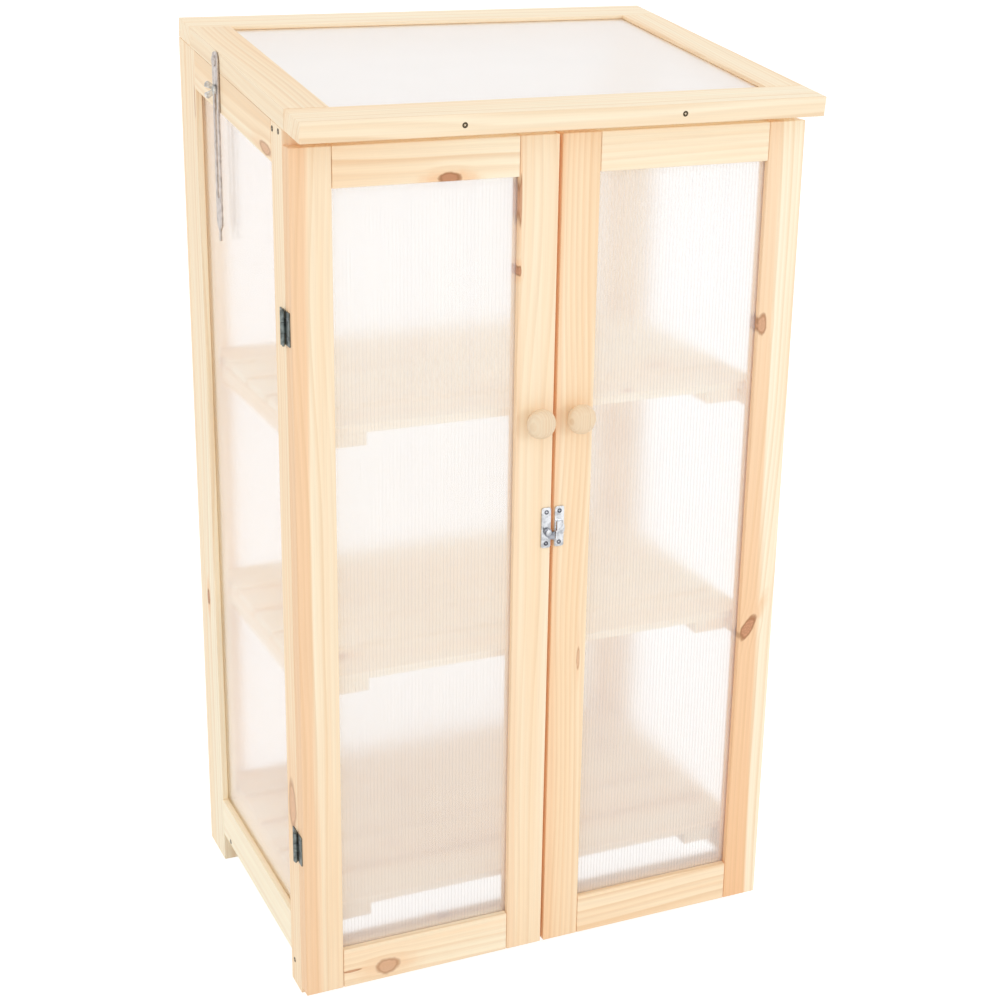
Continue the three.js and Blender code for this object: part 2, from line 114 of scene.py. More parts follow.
class Graph:
    """Adds nodes to a shader or geometry tree and joins them up."""

    def __init__(self, tree: bpy.types.NodeTree) -> None:
        """Starts on a tree.

        Args:
            tree: The tree that nodes are added to.
        """
        self.tree = tree

    def add(self, kind: str, inputs: dict[Any, Any] | None = None, **settings: Any) -> bpy.types.Node:
        """Adds a node, sets it and feeds it.

        Args:
            kind: The node's type name.
            inputs: Values or output sockets, by input name or number.
            settings: Properties of the node.

        Returns:
            The new node.
        """
        node = self.tree.nodes.new(kind)
        for key, value in settings.items():
            setattr(node, key, value)
        for key, value in (inputs or {}).items():
            if isinstance(value, Socket):
                self.tree.links.new(value, node.inputs[key])
            else:
                node.inputs[key].default_value = value
        return node

    def calc(self, operation: str, *values: Any, clamp: bool = False) -> Socket:
        """Does sums on numbers.

        Args:
            operation: The Math node's operation.
            values: Its inputs.
            clamp: Whether the result is kept between 0 and 1.

        Returns:
            The result.
        """
        inputs = dict(enumerate(values))
        return self.add("ShaderNodeMath", inputs, operation=operation, use_clamp=clamp).outputs[0]

    def plus(self, first: Any, second: Any, clamp: bool = False) -> Socket:
        """Adds two numbers."""
        return self.calc("ADD", first, second, clamp=clamp)

    def minus(self, first: Any, second: Any) -> Socket:
        """Takes the second number from the first."""
        return self.calc("SUBTRACT", first, second)

    def times(self, first: Any, second: Any, clamp: bool = False) -> Socket:
        """Multiplies two numbers."""
        return self.calc("MULTIPLY", first, second, clamp=clamp)

    def most(self, *values: Any) -> Socket:
        """Takes the largest of two or more numbers.

        Args:
            values: The numbers.

        Returns:
            The largest.
        """
        largest = values[0]
        for value in values[1:]:
            largest = self.calc("MAXIMUM", largest, value)
        return largest

    def point(self, parts: dict[int, Any]) -> Socket:
        """Joins X, Y and Z, by number, to a point. A part left out is 0."""
        return self.add("ShaderNodeCombineXYZ", parts).outputs[0]

    def split(self, place: Any) -> bpy.types.NodeOutputs:
        """Splits a point into X, Y and Z."""
        return self.add("ShaderNodeSeparateXYZ", {0: place}).outputs

    def link(self, start: Socket, end: Socket) -> None:
        """Joins an output to an input."""
        self.tree.links.new(start, end)

    def give(self, outs: Any, **sockets: Socket) -> None:
        """Joins results to a group's outputs of the same names."""
        for name, socket in sockets.items():
            self.link(socket, outs[name])

    def vector(self, operation: str, *values: Any, out: int = 0) -> Socket:
        """Does sums on vectors.

        Args:
            operation: The Vector Math node's operation.
            values: Its inputs.
            out: Which output to take: 1 is the number, as for a length.

        Returns:
            The result.
        """
        return self.add("ShaderNodeVectorMath", dict(enumerate(values)), operation=operation).outputs[out]

    def blend(self, share: Any, low: Any, high: Any, way: str = "MIX") -> Socket:
        """Mixes two colours.

        Args:
            share: How much of the second colour, from 0 to 1.
            low: The first colour.
            high: The second colour.
            way: The blend type.

        Returns:
            The mixed colour.
        """
        node = self.add("ShaderNodeMix", {0: share, 6: low, 7: high}, data_type="RGBA", blend_type=way)
        return node.outputs[2]

    def ramp(self, value: Any, low: float, high: float, to_low: float = 0.0,
             to_high: float = 1.0) -> Socket:
        """Maps a number smoothly from one range to another.

        Args:
            value: The number.
            low: The value that gives to_low.
            high: The value that gives to_high.
            to_low: The result at low.
            to_high: The result at high.

        Returns:
            The mapped number.
        """
        inputs = {0: value, 1: low, 2: high, 3: to_low, 4: to_high}
        return self.add("ShaderNodeMapRange", inputs, interpolation_type="SMOOTHSTEP").outputs[0]

    def noise(self, place: Any, stretch: Point, detail: float = 2.0, rough: float = 0.5) -> Socket:
        """Noise with its own scale along each axis.

        Args:
            place: The coordinates.
            stretch: The scale along each axis.
            detail: The noise's octaves.
            rough: How strong the small octaves are.

        Returns:
            A number about one half.
        """
        scaled = self.vector("MULTIPLY", place, stretch)
        inputs = {"Vector": scaled, "Scale": 1.0, "Detail": detail, "Roughness": rough}
        return self.add("ShaderNodeTexNoise", inputs, noise_dimensions="3D").outputs[0]


def linear(red: int, green: int, blue: int) -> tuple[float, float, float, float]:
    """A colour as a screen shows it, from 0 to 255, turned into the scene's linear colour.

    Args:
        red: The red share.
        green: The green share.
        blue: The blue share.

    Returns:
        The linear colour and an alpha of 1.
    """
    shares = [c / 255 for c in (red, green, blue)]
    return (*[s / 12.92 if s <= 0.04045 else ((s + 0.055) / 1.055) ** 2.4 for s in shares], 1.0)


def new_tree(name: str, kind: str, inputs: Sequence[tuple],
             outputs: Sequence[tuple]) -> tuple[Graph, Any, Any]:
    """Makes a node group with named inputs and outputs.

    Args:
        name: The group's name.
        kind: The tree's type name.
        inputs: Name, socket type and, where it has one, default of each input.
        outputs: Name and socket type of each output.

    Returns:
        The graph, its input node's outputs and its output node's inputs.
    """
    tree = bpy.data.node_groups.new(name, kind)
    for way, rows in (("INPUT", inputs), ("OUTPUT", outputs)):
        for label, socket_type, *default in rows:
            socket = tree.interface.new_socket(label, in_out=way, socket_type=socket_type)
            if default:
                socket.default_value = default[0]
    graph = Graph(tree)
    return graph, graph.add("NodeGroupInput").outputs, graph.add("NodeGroupOutput").inputs


FLOAT, VECTOR, COLOUR = "NodeSocketFloat", "NodeSocketVector", "NodeSocketColor"
GEOMETRY, INTEGER, MATERIAL = "NodeSocketGeometry", "NodeSocketInt", "NodeSocketMaterial"
BOOLEAN = "NodeSocketBool"
PINE_COLOURS = ("Pale", "Warm", "Late Wood", "Heartwood", "Knot Rim", "Knot Core")
GRAIN_MAPS = {"Grain": "grain", "Tone": "tone", "Heart": "heart", "Knot A": "knot_a", "Knot B": "knot_b",
              "Knot C": "knot_c"}


class Effects:
    """The shader node groups that the finishes share. Each is built once."""

    _made: dict[str, bpy.types.NodeTree] = {}

    @classmethod
    def use(cls, name: str) -> bpy.types.NodeTree:
        """Gives one effect's group, built at its first use.

        Args:
            name: The effect: pine_grain, knot, metal_skin or sheet_haze.

        Returns:
            The node group.
        """
        if name not in cls._made:
            cls._made[name] = getattr(cls, name)()
        return cls._made[name]

    @classmethod
    def knot(cls) -> bpy.types.NodeTree:
        """One knot, from coordinates that are 0 in its middle and 1 at its edge, with its strength as Z.

        Returns:
            The group: masks for core, rim and halo, its own rings, and how far it pushes the grain aside.
        """
        graph, ins, outs = new_tree("knot", "ShaderNodeTree", [("Place", VECTOR)], [
            ("Core", FLOAT), ("Rim", FLOAT), ("Halo", FLOAT), ("Rings", FLOAT), ("Push", FLOAT)])
        place = ins["Place"]
        across, strength = graph.split(place)[1:3]
        wobble = graph.times(graph.minus(graph.noise(place, (1.1, 1.1, 1.1)), 0.5), 0.7)
        reach = graph.vector("LENGTH", graph.vector("MULTIPLY", place, (1.0, 1.0, 0.0)), out=1)
        glow = graph.vector("LENGTH", graph.vector("MULTIPLY", place, (0.45, 1.0, 0.0)), out=1)
        edge = graph.plus(reach, wobble)
        rim = graph.calc("ABSOLUTE", graph.minus(edge, 0.95))
        masks = {"Core": graph.ramp(edge, 1.08, 0.84), "Rim": graph.ramp(rim, 0.34, 0.04),
                 "Halo": graph.ramp(graph.plus(glow, wobble), 1.9, 0.7),
                 "Push": graph.times(across, graph.ramp(reach, 3.4, 0.2))}
        for name, socket in masks.items():
            graph.link(graph.times(socket, strength), outs[name])
        graph.link(graph.calc("SINE", graph.times(edge, 17.0)), outs["Rings"])
        return graph.tree

    @classmethod
    def pine_grain(cls) -> bpy.types.NodeTree:
        """Planed pine: rings round a pith outside the board, streaks, heartwood, fibre and three knots.

        Returns:
            The group: colour, roughness and height.
        """
        graph, ins, outs = new_tree("pine_grain", "ShaderNodeTree", [
            *[(name, VECTOR) for name in GRAIN_MAPS],
            *[(name, COLOUR) for name in PINE_COLOURS],
            ("Ring Spacing", FLOAT, 0.006), ("Roughness", FLOAT, 0.55),
        ], [("Color", COLOUR), ("Roughness", FLOAT), ("Height", FLOAT)])
        tree = cls.use("knot")
        knots = [graph.add("ShaderNodeGroup", {"Place": ins[f"Knot {which}"]}, node_tree=tree).outputs
                 for which in "ABC"]

        def most(name: str) -> Socket:
            """The largest of the three knots' values of one kind."""
            return graph.most(*[knot[name] for knot in knots])

        push = graph.plus(graph.plus(knots[0]["Push"], knots[1]["Push"]), knots[2]["Push"])
        grain = ins["Grain"]
        _, across, deep = graph.split(grain)[:3]
        warmth, contrast, shade = graph.split(ins["Tone"])[:3]
        wander = graph.times(graph.minus(graph.noise(grain, (1.7, 6.0, 6.0), 1.0), 0.5), 0.05)
        bent = graph.minus(graph.plus(across, wander), graph.times(push, 0.0045))
        radius = graph.vector("LENGTH", graph.point({0: bent, 1: deep}), out=1)
        turns = graph.calc("DIVIDE", radius, ins["Ring Spacing"])
        year = graph.calc("FRACT", turns)
        ring = graph.times(graph.ramp(year, 0.05, 0.8), graph.ramp(year, 1.0, 0.78))
        number = graph.calc("FLOOR", turns)
        strength = graph.add("ShaderNodeTexWhiteNoise", {"W": number}, noise_dimensions="1D")
        ring = graph.times(ring, graph.ramp(strength.outputs[0], 0.0, 1.0, 0.25, 1.0))
        fibre = graph.noise(grain, (9.0, 620.0, 620.0), 3.0, 0.6)
        streak = graph.noise(grain, (2.2, 95.0, 95.0), 2.0)
        band = graph.noise(grain, (0.9, 22.0, 22.0), 1.0)
        loose = graph.minus(streak, 0.5)
        drift = graph.plus(graph.times(graph.minus(band, 0.5), 1.3),
                           graph.times(loose, 0.9))
        warm = graph.plus(warmth, drift, clamp=True)
        colour = graph.blend(warm, ins["Pale"], ins["Warm"])
        reach, depth = graph.split(ins["Heart"])[:2]
        heart = graph.ramp(graph.plus(reach, graph.times(loose, 1.6)), -0.5, 0.5)
        heart = graph.times(heart, depth)
        heart = graph.most(heart, graph.times(most("Halo"), 0.75))
        colour = graph.blend(heart, colour, ins["Heartwood"])
        colour = graph.blend(graph.times(ring, contrast, clamp=True), colour, ins["Late Wood"])
        rings = graph.ramp(most("Rings"), -1.0, 1.0, 0.0, 0.4)
        knot = graph.blend(rings, ins["Knot Core"], ins["Knot Rim"])
        colour = graph.blend(most("Core"), colour, knot)
        colour = graph.blend(graph.times(most("Rim"), 0.75), colour, ins["Knot Rim"])
        value = graph.times(shade, graph.ramp(fibre, 0.25, 0.75, 0.965, 1.025))
        colour = graph.blend(1.0, colour, graph.point({0: value, 1: value, 2: value}),
                             "MULTIPLY")
        rough = graph.plus(ins["Roughness"], graph.ramp(fibre, 0.2, 0.8, -0.07, 0.07))
        height = graph.plus(graph.times(fibre, 0.6), graph.times(ring, 0.4))
        graph.give(outs, Color=colour, Roughness=rough, Height=height)
        return graph.tree

    @classmethod
    def metal_skin(cls) -> bpy.types.NodeTree:
        """Rolled or plated metal: cloudy patches, fine scratches and dull specks.

        Returns:
            The group: colour, roughness and height.
        """
        graph, ins, outs = new_tree("metal_skin", "ShaderNodeTree", [
            ("Place", VECTOR), ("Bright", COLOUR), ("Dull", COLOUR), ("Roughness", FLOAT, 0.35),
        ], [("Color", COLOUR), ("Roughness", FLOAT), ("Height", FLOAT)])
        cloud = graph.noise(ins["Place"], (170.0, 170.0, 170.0), 3.0, 0.6)
        scratch = graph.noise(ins["Place"], (1400.0, 1400.0, 110.0), 2.0, 0.7)
        speck = graph.ramp(graph.noise(ins["Place"], (900.0, 900.0, 900.0), 1.0), 0.66, 0.74)
        dull = graph.plus(graph.ramp(cloud, 0.35, 0.7), graph.times(speck, 0.35), clamp=True)
        colour = graph.blend(dull, ins["Bright"], ins["Dull"])
        rough = graph.plus(ins["Roughness"], graph.times(graph.minus(cloud, 0.45), 0.4))
        height = graph.minus(graph.times(scratch, 0.5), graph.times(speck, 0.5))
        graph.give(outs, Color=colour, Roughness=rough, Height=height)
        return graph.tree

    @classmethod
    def sheet_haze(cls) -> bpy.types.NodeTree:
        """Hollow plastic sheet: a milky wall with faint extrusion lines along the flutes.

        Returns:
            The group: colour and roughness.
        """
        graph, ins, outs = new_tree("sheet_haze", "ShaderNodeTree", [
            ("Place", VECTOR), ("Lines", VECTOR), ("Clear", COLOUR), ("Milky", COLOUR),
            ("Roughness", FLOAT, 0.25),
        ], [("Color", COLOUR), ("Roughness", FLOAT)])
        scaled = graph.vector("MULTIPLY", ins["Place"], ins["Lines"])
        line = graph.add("ShaderNodeTexNoise", {"Vector": scaled, "Scale": 1.0, "Detail": 0.0},
                         noise_dimensions="3D").outputs[0]
        colour = graph.blend(graph.ramp(line, 0.3, 0.7), ins["Clear"], ins["Milky"])
        rough = graph.plus(ins["Roughness"], graph.ramp(line, 0.2, 0.8, -0.06, 0.06))
        graph.give(outs, Color=colour, Roughness=rough)
        return graph.tree


# Finishes


def begin_material(name: str) -> tuple[bpy.types.Material, Graph, bpy.types.Node]:
    """Starts a material with one Principled shader.

    Args:
        name: The material's name.

    Returns:
        The material, its graph and the shader node.
    """
    material = bpy.data.materials.new(name)
    material.use_nodes = True
    material.node_tree.nodes.clear()
    graph = Graph(material.node_tree)
    shader = graph.add("ShaderNodeBsdfPrincipled")
    graph.add("ShaderNodeOutputMaterial", {"Surface": shader.outputs[0]})
    return material, graph, shader


def feed(graph: Graph, shader: bpy.types.Node, effect: bpy.types.Node, distance: float = 0.0) -> None:
    """Joins an effect's outputs to the shader, with its height, if it has one, as a bump.

    Args:
        graph: The material's graph.
        shader: The Principled node.
        effect: The effect's group node.
        distance: The bump's depth.
    """
    graph.link(effect.outputs["Color"], shader.inputs["Base Color"])
    graph.link(effect.outputs["Roughness"], shader.inputs["Roughness"])
    if "Height" in effect.outputs:
        bump = graph.add("ShaderNodeBump", {
            "Height": effect.outputs["Height"], "Distance": distance, "Strength": 1.0})
        graph.link(bump.outputs[0], shader.inputs["Normal"])


@dataclass(frozen=True)
class PineFinish:
    """Bare pine, its colours and the scale of its grain."""

    name: str
    pale: Colour = (255, 244, 218)
    warm: Colour = (252, 222, 184)
    late: Colour = (228, 184, 134)
    heart: Colour = (247, 201, 156)
    knot_rim: Colour = (164, 112, 72)
    knot_core: Colour = (214, 156, 120)
    ring_spacing: float = 5.8 * MM
    roughness: float = 0.56
    coat: float = 0.0
    coat_roughness: float = 0.3
    gloss: float = 0.35
    bump: float = 0.25 * MM

    def build(self) -> bpy.types.Material:
        """Makes the material."""
        material, graph, shader = begin_material(self.name)
        maps = {label: graph.add("ShaderNodeAttribute", attribute_name=attribute).outputs["Vector"]
                for label, attribute in GRAIN_MAPS.items()}
        effect = graph.add("ShaderNodeGroup", {
            **maps, "Pale": linear(*self.pale), "Warm": linear(*self.warm), "Late Wood": linear(*self.late),
            "Heartwood": linear(*self.heart), "Knot Rim": linear(*self.knot_rim),
            "Knot Core": linear(*self.knot_core), "Ring Spacing": self.ring_spacing,
            "Roughness": self.roughness,
        }, node_tree=Effects.use("pine_grain"))
        feed(graph, shader, effect, self.bump)
        shader.inputs["Specular IOR Level"].default_value = self.gloss
        shader.inputs["Coat Weight"].default_value = self.coat
        shader.inputs["Coat Roughness"].default_value = self.coat_roughness
        return material


@dataclass(frozen=True)
class MetalFinish:
    """Plated or blackened steel."""

    name: str
    bright: Colour
    dull: Colour
    roughness: float
    bump: float = 0.04 * MM

    def build(self) -> bpy.types.Material:
        """Makes the material."""
        material, graph, shader = begin_material(self.name)
        effect = graph.add("ShaderNodeGroup", {
            "Place": graph.add("ShaderNodeTexCoord").outputs["Object"], "Bright": linear(*self.bright),
            "Dull": linear(*self.dull), "Roughness": self.roughness}, node_tree=Effects.use("metal_skin"))
        feed(graph, shader, effect, self.bump)
        shader.inputs["Metallic"].default_value = 1.0
        return material


@dataclass(frozen=True)
class SheetFinish:
    """Milky hollow plastic sheet. Each ray meets four walls and the webs between them.

    The sheet scatters light forwards, so it stops less of the light that falls through it than of the view.
    """

    name: str
    lines: Point
    opacity: float
    shadow: float
    clear: Colour = (250, 250, 252)
    milky: Colour = (255, 255, 255)
    roughness: float = 0.22
    bend: float = 1.5

    def build(self) -> bpy.types.Material:
        """Makes the material."""
        material, graph, shader = begin_material(self.name)
        effect = graph.add("ShaderNodeGroup", {
            "Place": graph.add("ShaderNodeTexCoord").outputs["Object"], "Lines": self.lines,
            "Clear": linear(*self.clear), "Milky": linear(*self.milky), "Roughness": self.roughness,
        }, node_tree=Effects.use("sheet_haze"))
        feed(graph, shader, effect)
        in_shadow = graph.add("ShaderNodeLightPath").outputs["Is Shadow Ray"]
        alpha = graph.calc("MULTIPLY_ADD", in_shadow, self.shadow - self.opacity, self.opacity)
        graph.link(alpha, shader.inputs["Alpha"])
        shader.inputs["IOR"].default_value = self.bend
        return material


@dataclass(frozen=True)
class FilmFinish:
    """The sheet's clear outer film. It blurs what lies far behind it and lets all light fall through."""

    name: str
    tint: Colour
    roughness: float
    bend: float
    gloss: float = 0.1

    def build(self) -> bpy.types.Material:
        """Makes the material."""
        material, graph, shader = begin_material(self.name)
        place = graph.add("ShaderNodeTexCoord").outputs["Object"]
        cloud = graph.noise(place, (9.0, 9.0, 9.0), 1.0)
        rough = graph.ramp(cloud, 0.3, 0.7, self.roughness * 0.94, self.roughness * 1.06)
        graph.link(rough, shader.inputs["Roughness"])
        path = graph.add("ShaderNodeLightPath").outputs
        in_view = graph.most(path["Is Camera Ray"], path["Is Transmission Ray"])
        graph.link(in_view, shader.inputs["Alpha"])
        shader.inputs["Base Color"].default_value = linear(*self.tint)
        shader.inputs["Transmission Weight"].default_value = 1.0
        shader.inputs["IOR"].default_value = self.bend
        shader.inputs["Specular IOR Level"].default_value = self.gloss
        return material


HINGE_ZINC = MetalFinish("hinge_zinc", (132, 140, 137), (92, 98, 97), 0.42)
SCREW_ZINC = MetalFinish("screw_zinc", (188, 192, 192), (140, 145, 147), 0.34)
LATCH_ZINC = MetalFinish("latch_zinc", (225, 227, 230), (178, 180, 184), 0.3)
LEVER_ZINC = MetalFinish("lever_zinc", (168, 170, 177), (104, 106, 114), 0.3)
# The latch screws' dark grey is partly painted shade: it stands for the shade in their holes.
LATCH_SCREW_ZINC = MetalFinish("latch_screw_zinc", (118, 118, 126), (72, 72, 80), 0.4)
STAY_ZINC = MetalFinish("stay_zinc", (212, 203, 197), (180, 171, 165), 0.42)
WING_ZINC = MetalFinish("wing_screw_zinc", (226, 226, 224), (170, 168, 164), 0.32)
DARK_STEEL = MetalFinish("dark_screw", (96, 84, 66), (70, 62, 50), 0.5)
PINE = PineFinish("pine")
TURNED_PINE = PineFinish("turned_pine", coat=0.35, ring_spacing=2.6 * MM, roughness=0.42)


Finish = PineFinish | MetalFinish | SheetFinish | FilmFinish


class Stock:
    """The materials that have been made, one for each finish."""

    _made: dict[str, bpy.types.Material] = {}

    @classmethod
    def of(cls, finish: Finish) -> bpy.types.Material:
        """Gives a finish's material, made at its first use.

        Args:
            finish: The finish.

        Returns:
            Its material.
        """
        if finish.name not in cls._made:
            cls._made[finish.name] = finish.build()
        return cls._made[finish.name]


# Making pieces


def show(name: str, mesh: bpy.types.Mesh, body: str, slot: Slot, *nodes: str) -> bpy.types.Object:
    """Puts a finished mesh in the scene as a piece.

    Args:
        name: The piece's name.
        mesh: Its mesh, in place and with its material.
        body: The CAD body that it rides on.
        slot: The record's material slot; not used.
        nodes: The CAD nodes that it stands for.

    Returns:
        The piece.
    """
    piece = bpy.data.objects.new(name, mesh)
    bpy.context.scene.collection.objects.link(piece)
    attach(piece, body)
    if nodes:
        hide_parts(*nodes)
    LOG.info("%s: %d faces on %s", name, len(mesh.polygons), body)
    return piece


def body_of(node: str) -> str:
    """The CAD body that a node belongs to."""
    return frame["nodes"][node]["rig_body"]


def points_of(mesh: bpy.types.Mesh) -> np.ndarray:
    """A mesh's vertices as rows of X, Y and Z."""
    flat = np.zeros(len(mesh.vertices) * 3, np.float32)
    mesh.vertices.foreach_get("co", flat)
    return flat.reshape(-1, 3).astype(float)


def eased_copy(node: str, name: str, width: float, steps: int = 2) -> bpy.types.Mesh:
    """Copies a CAD node's mesh, merged and with its outer edges rounded.

    Args:
        node: The CAD node.
        name: The new mesh's name.
        width: How wide the rounding is.
        steps: How many faces it has.

    Returns:
        The new mesh.
    """
    work = bmesh.new()
    work.from_mesh(frame["nodes"][node].data)
    bmesh.ops.remove_doubles(work, verts=work.verts, dist=WELD)
    bmesh.ops.dissolve_limit(work, angle_limit=FLAT_ANGLE, verts=work.verts, edges=work.edges)
    sharp = [e for e in work.edges if e.is_manifold and e.is_convex and e.calc_face_angle() > SHARP_ANGLE]
    bmesh.ops.bevel(work, geom=sharp, offset=width, offset_type="OFFSET", segments=steps, profile=0.5,
                    affect="EDGES", clamp_overlap=True)
    mesh = bpy.data.meshes.new(name)
    work.to_mesh(mesh)
    work.free()
    for attribute in [a for a in mesh.attributes if a.name in ("custom_normal", "UVMap")]:
        mesh.attributes.remove(attribute)
    mesh.materials.clear()
    return mesh


def set_material(mesh: bpy.types.Mesh, finish: Finish, smooth: bool) -> None:
    """Gives a mesh its finish and its shading.

    Args:
        mesh: The mesh.
        finish: Its finish.
        smooth: Whether shallow edges are shaded smooth.
    """
    mesh.materials.clear()
    mesh.materials.append(Stock.of(finish))
    mesh.polygons.foreach_set("material_index", [0] * len(mesh.polygons))
    mesh.polygons.foreach_set("use_smooth", [smooth] * len(mesh.polygons))
    if smooth:
        mesh.set_sharp_from_angle(angle=SHARP_ANGLE)
    mesh.update()


def grown(tree: bpy.types.NodeTree, name: str, start: bpy.types.Mesh | None,
          **values: Any) -> bpy.types.Mesh:
    """Runs a Geometry Nodes tree and keeps what it makes as a plain mesh.

    Args:
        tree: The tree.
        name: The new mesh's name.
        start: The mesh that the tree reads, if it reads one.
        values: Its inputs, by name, with _ for a space.

    Returns:
        The mesh.
    """
    maker = bpy.data.objects.new(name + "_maker", start or bpy.data.meshes.new(name + "_start"))
    bpy.context.scene.collection.objects.link(maker)
    modifier = maker.modifiers.new("grow", "NODES")
    modifier.node_group = tree
    sockets = {s.name: s.identifier for s in tree.interface.items_tree if s.in_out == "INPUT"}
    for label, value in values.items():
        modifier[sockets[label.replace("_", " ")]] = value
    bpy.context.view_layer.update()
    graph = bpy.context.evaluated_depsgraph_get()
    mesh = bpy.data.meshes.new_from_object(maker.evaluated_get(graph), depsgraph=graph)
    mesh.name = name
    maker.modifiers.remove(modifier)
    bpy.data.objects.remove(maker)
    return mesh


@dataclass(frozen=True)
class Knot:
    """A knot: a point on the board's face and its half length along and across the grain, in millimetres.

    Strength is 1 for a clear knot and less for a faint one. Lean turns it out of the grain, in degrees. A
    few are painted shadow, dark marks drawn as knots where shade falls at a gap.
    """

    x: float
    y: float
    z: float
    long: float
    wide: float
    strength: float = 1.0
    lean: float = 0.0


@dataclass(frozen=True)
class Band:
    """Heartwood along one edge of a board, -1 for the edge that lies lower on its axis.

    Start and end are its widths at the board's two ends, in millimetres. Waning is the share of its
    strength that it loses towards the far end.
    """

    edge: int
    start: float
    end: float
    strength: float
    waning: float = 0.0
    fade: float = 7.0


@dataclass(frozen=True)
class Tone:
    """A board's look: its warmth, its rings' contrast, its shade, and how much warmer its far end is."""

    warmth: float = 0.4
    contrast: float = 0.35
    shade: float = 1.0
    lean: float = 0.0


# How far a board's pith lies from its middle, across and through it, least and most, in metres.
PITH_REACHES = ((0.02, 0.07), (0.035, 0.11))
# A stray knot's least and most: its place along and across the board, its radius in millimetres, and its
# length over its width.
STRAY_ALONG_SHARE = (-0.42, 0.42)
STRAY_ACROSS_SHARE = (-0.4, 0.4)
STRAY_RADIUS = (2.5, 6.0)
STRAY_STRETCH = (1.1, 1.9)


@dataclass
class Timber:
    """How a board was sawn: where it lay in the tree, its tone, its heartwood and its knots."""

    name: str
    tone: Tone = Tone()
    knots: Sequence[Knot] | None = None
    band: Band | None = None
    stray_knots: int = 1

    def write(self, mesh: bpy.types.Mesh, rows: slice, pitch: float) -> None:
        """Writes the board's grain maps on its vertices.

        Args:
            mesh: The mesh.
            rows: Which of its vertices are the board's.
            pitch: The board's lean about X.
        """
        draw = random.Random(self.name)
        points = points_of(mesh)[rows]
        turn = np.array(Matrix.Rotation(-pitch, 3, "X"))
        laid = points @ turn.T
        low, high = laid.min(0), laid.max(0)
        order = np.argsort(low - high)
        local = (laid - (low + high) / 2)[:, order]
        size = (high - low)[order]
        pith = [draw.uniform(*reach) * draw.choice((-1, 1)) for reach in PITH_REACHES]
        if draw.random() < 0.5:
            pith.reverse()
        even = np.ones(len(local))
        tone = np.column_stack([self.tone.warmth + self.tone.lean * local[:, 0] / size[0],
                                even * self.tone.contrast, even * self.tone.shade])
        maps = {"grain": local + [draw.uniform(0, FAR_AWAY), *pith], "tone": tone,
                "heart": self.heartwood(local, size)}
        places = []
        if self.knots is None:
            for _ in range(self.stray_knots):
                radius = draw.uniform(*STRAY_RADIUS) * MM
                along = draw.uniform(*STRAY_ALONG_SHARE) * size[0]
                across = draw.uniform(*STRAY_ACROSS_SHARE) * size[1]
                places.append((along, across, radius * draw.uniform(*STRAY_STRETCH), radius, 1.0, 0.0))
        for knot in self.knots or ():
            middle = ((turn @ (np.array((knot.x, knot.y, knot.z)) * MM)) - (low + high) / 2)[order]
            places.append((middle[0], middle[1], knot.long * MM, knot.wide * MM, knot.strength,
                           math.radians(knot.lean)))
        for which, place in zip("abc", [*places, *[(FAR_AWAY, FAR_AWAY, 1.0, 1.0, 0.0, 0.0)] * 3]):
            along, across, long, wide, strength, lean = place
            cos, sin = math.cos(lean), math.sin(lean)
            right, up = local[:, 0] - along, local[:, 1] - across
            maps[f"knot_{which}"] = np.column_stack(
                [(right * cos + up * sin) / long, (up * cos - right * sin) / wide, even * strength])
        for attribute, values in maps.items():
            layer = mesh.attributes.get(attribute)
            layer = layer or mesh.attributes.new(attribute, "FLOAT_VECTOR", "POINT")
            whole = np.zeros(len(mesh.vertices) * 3, np.float32)
            layer.data.foreach_get("vector", whole)
            whole = whole.reshape(-1, 3)
            whole[rows] = values
            layer.data.foreach_set("vector", whole.ravel())

    def heartwood(self, local: np.ndarray, size: np.ndarray) -> np.ndarray:
        """How deep each vertex lies in the board's band of heartwood.

        Args:
            local: The vertices along the board, across it and through it, from its middle.
            size: The board's length, width and thickness.

        Returns:
            Rows of depth, in units of the band's fade, strength and 0.
        """
        rows = np.zeros((len(local), 3))
        rows[:, 0] = -FAR_AWAY
        if self.band:
            along = local[:, 0] / size[0] + 0.5
            width = self.band.start + (self.band.end - self.band.start) * along
            inwards = (size[1] / 2 - self.band.edge * local[:, 1]) / MM
            rows[:, 0] = (width - inwards) / self.band.fade
            rows[:, 1] = self.band.strength * (1 - self.band.waning * along)
        return rows


# Screws


@dataclass(frozen=True)
class ScrewKind:
    """A countersunk cross-head wood screw as its head shows."""

    name: str
    finish: MetalFinish
    slot: Slot
    radius: float
    proud: float = 0.25 * MM
    recess: float = 0.55


HINGE_SCREW = ScrewKind("hinge_screws", SCREW_ZINC, Slot.ZINC, 2.2 * MM)
LID_SCREW = ScrewKind("lid_hinge_screws", SCREW_ZINC, Slot.ZINC, 2.7 * MM)
LATCH_SCREW = ScrewKind("latch_screws", LATCH_SCREW_ZINC, Slot.ZINC, 2.7 * MM)
FRAME_SCREW = ScrewKind("frame_screws", DARK_STEEL, Slot.STEEL, 3.1 * MM, 0.12 * MM, 0.45)
BRAD = ScrewKind("brads", SCREW_ZINC, Slot.ZINC, 1.5 * MM, 0.1 * MM, 0.0)


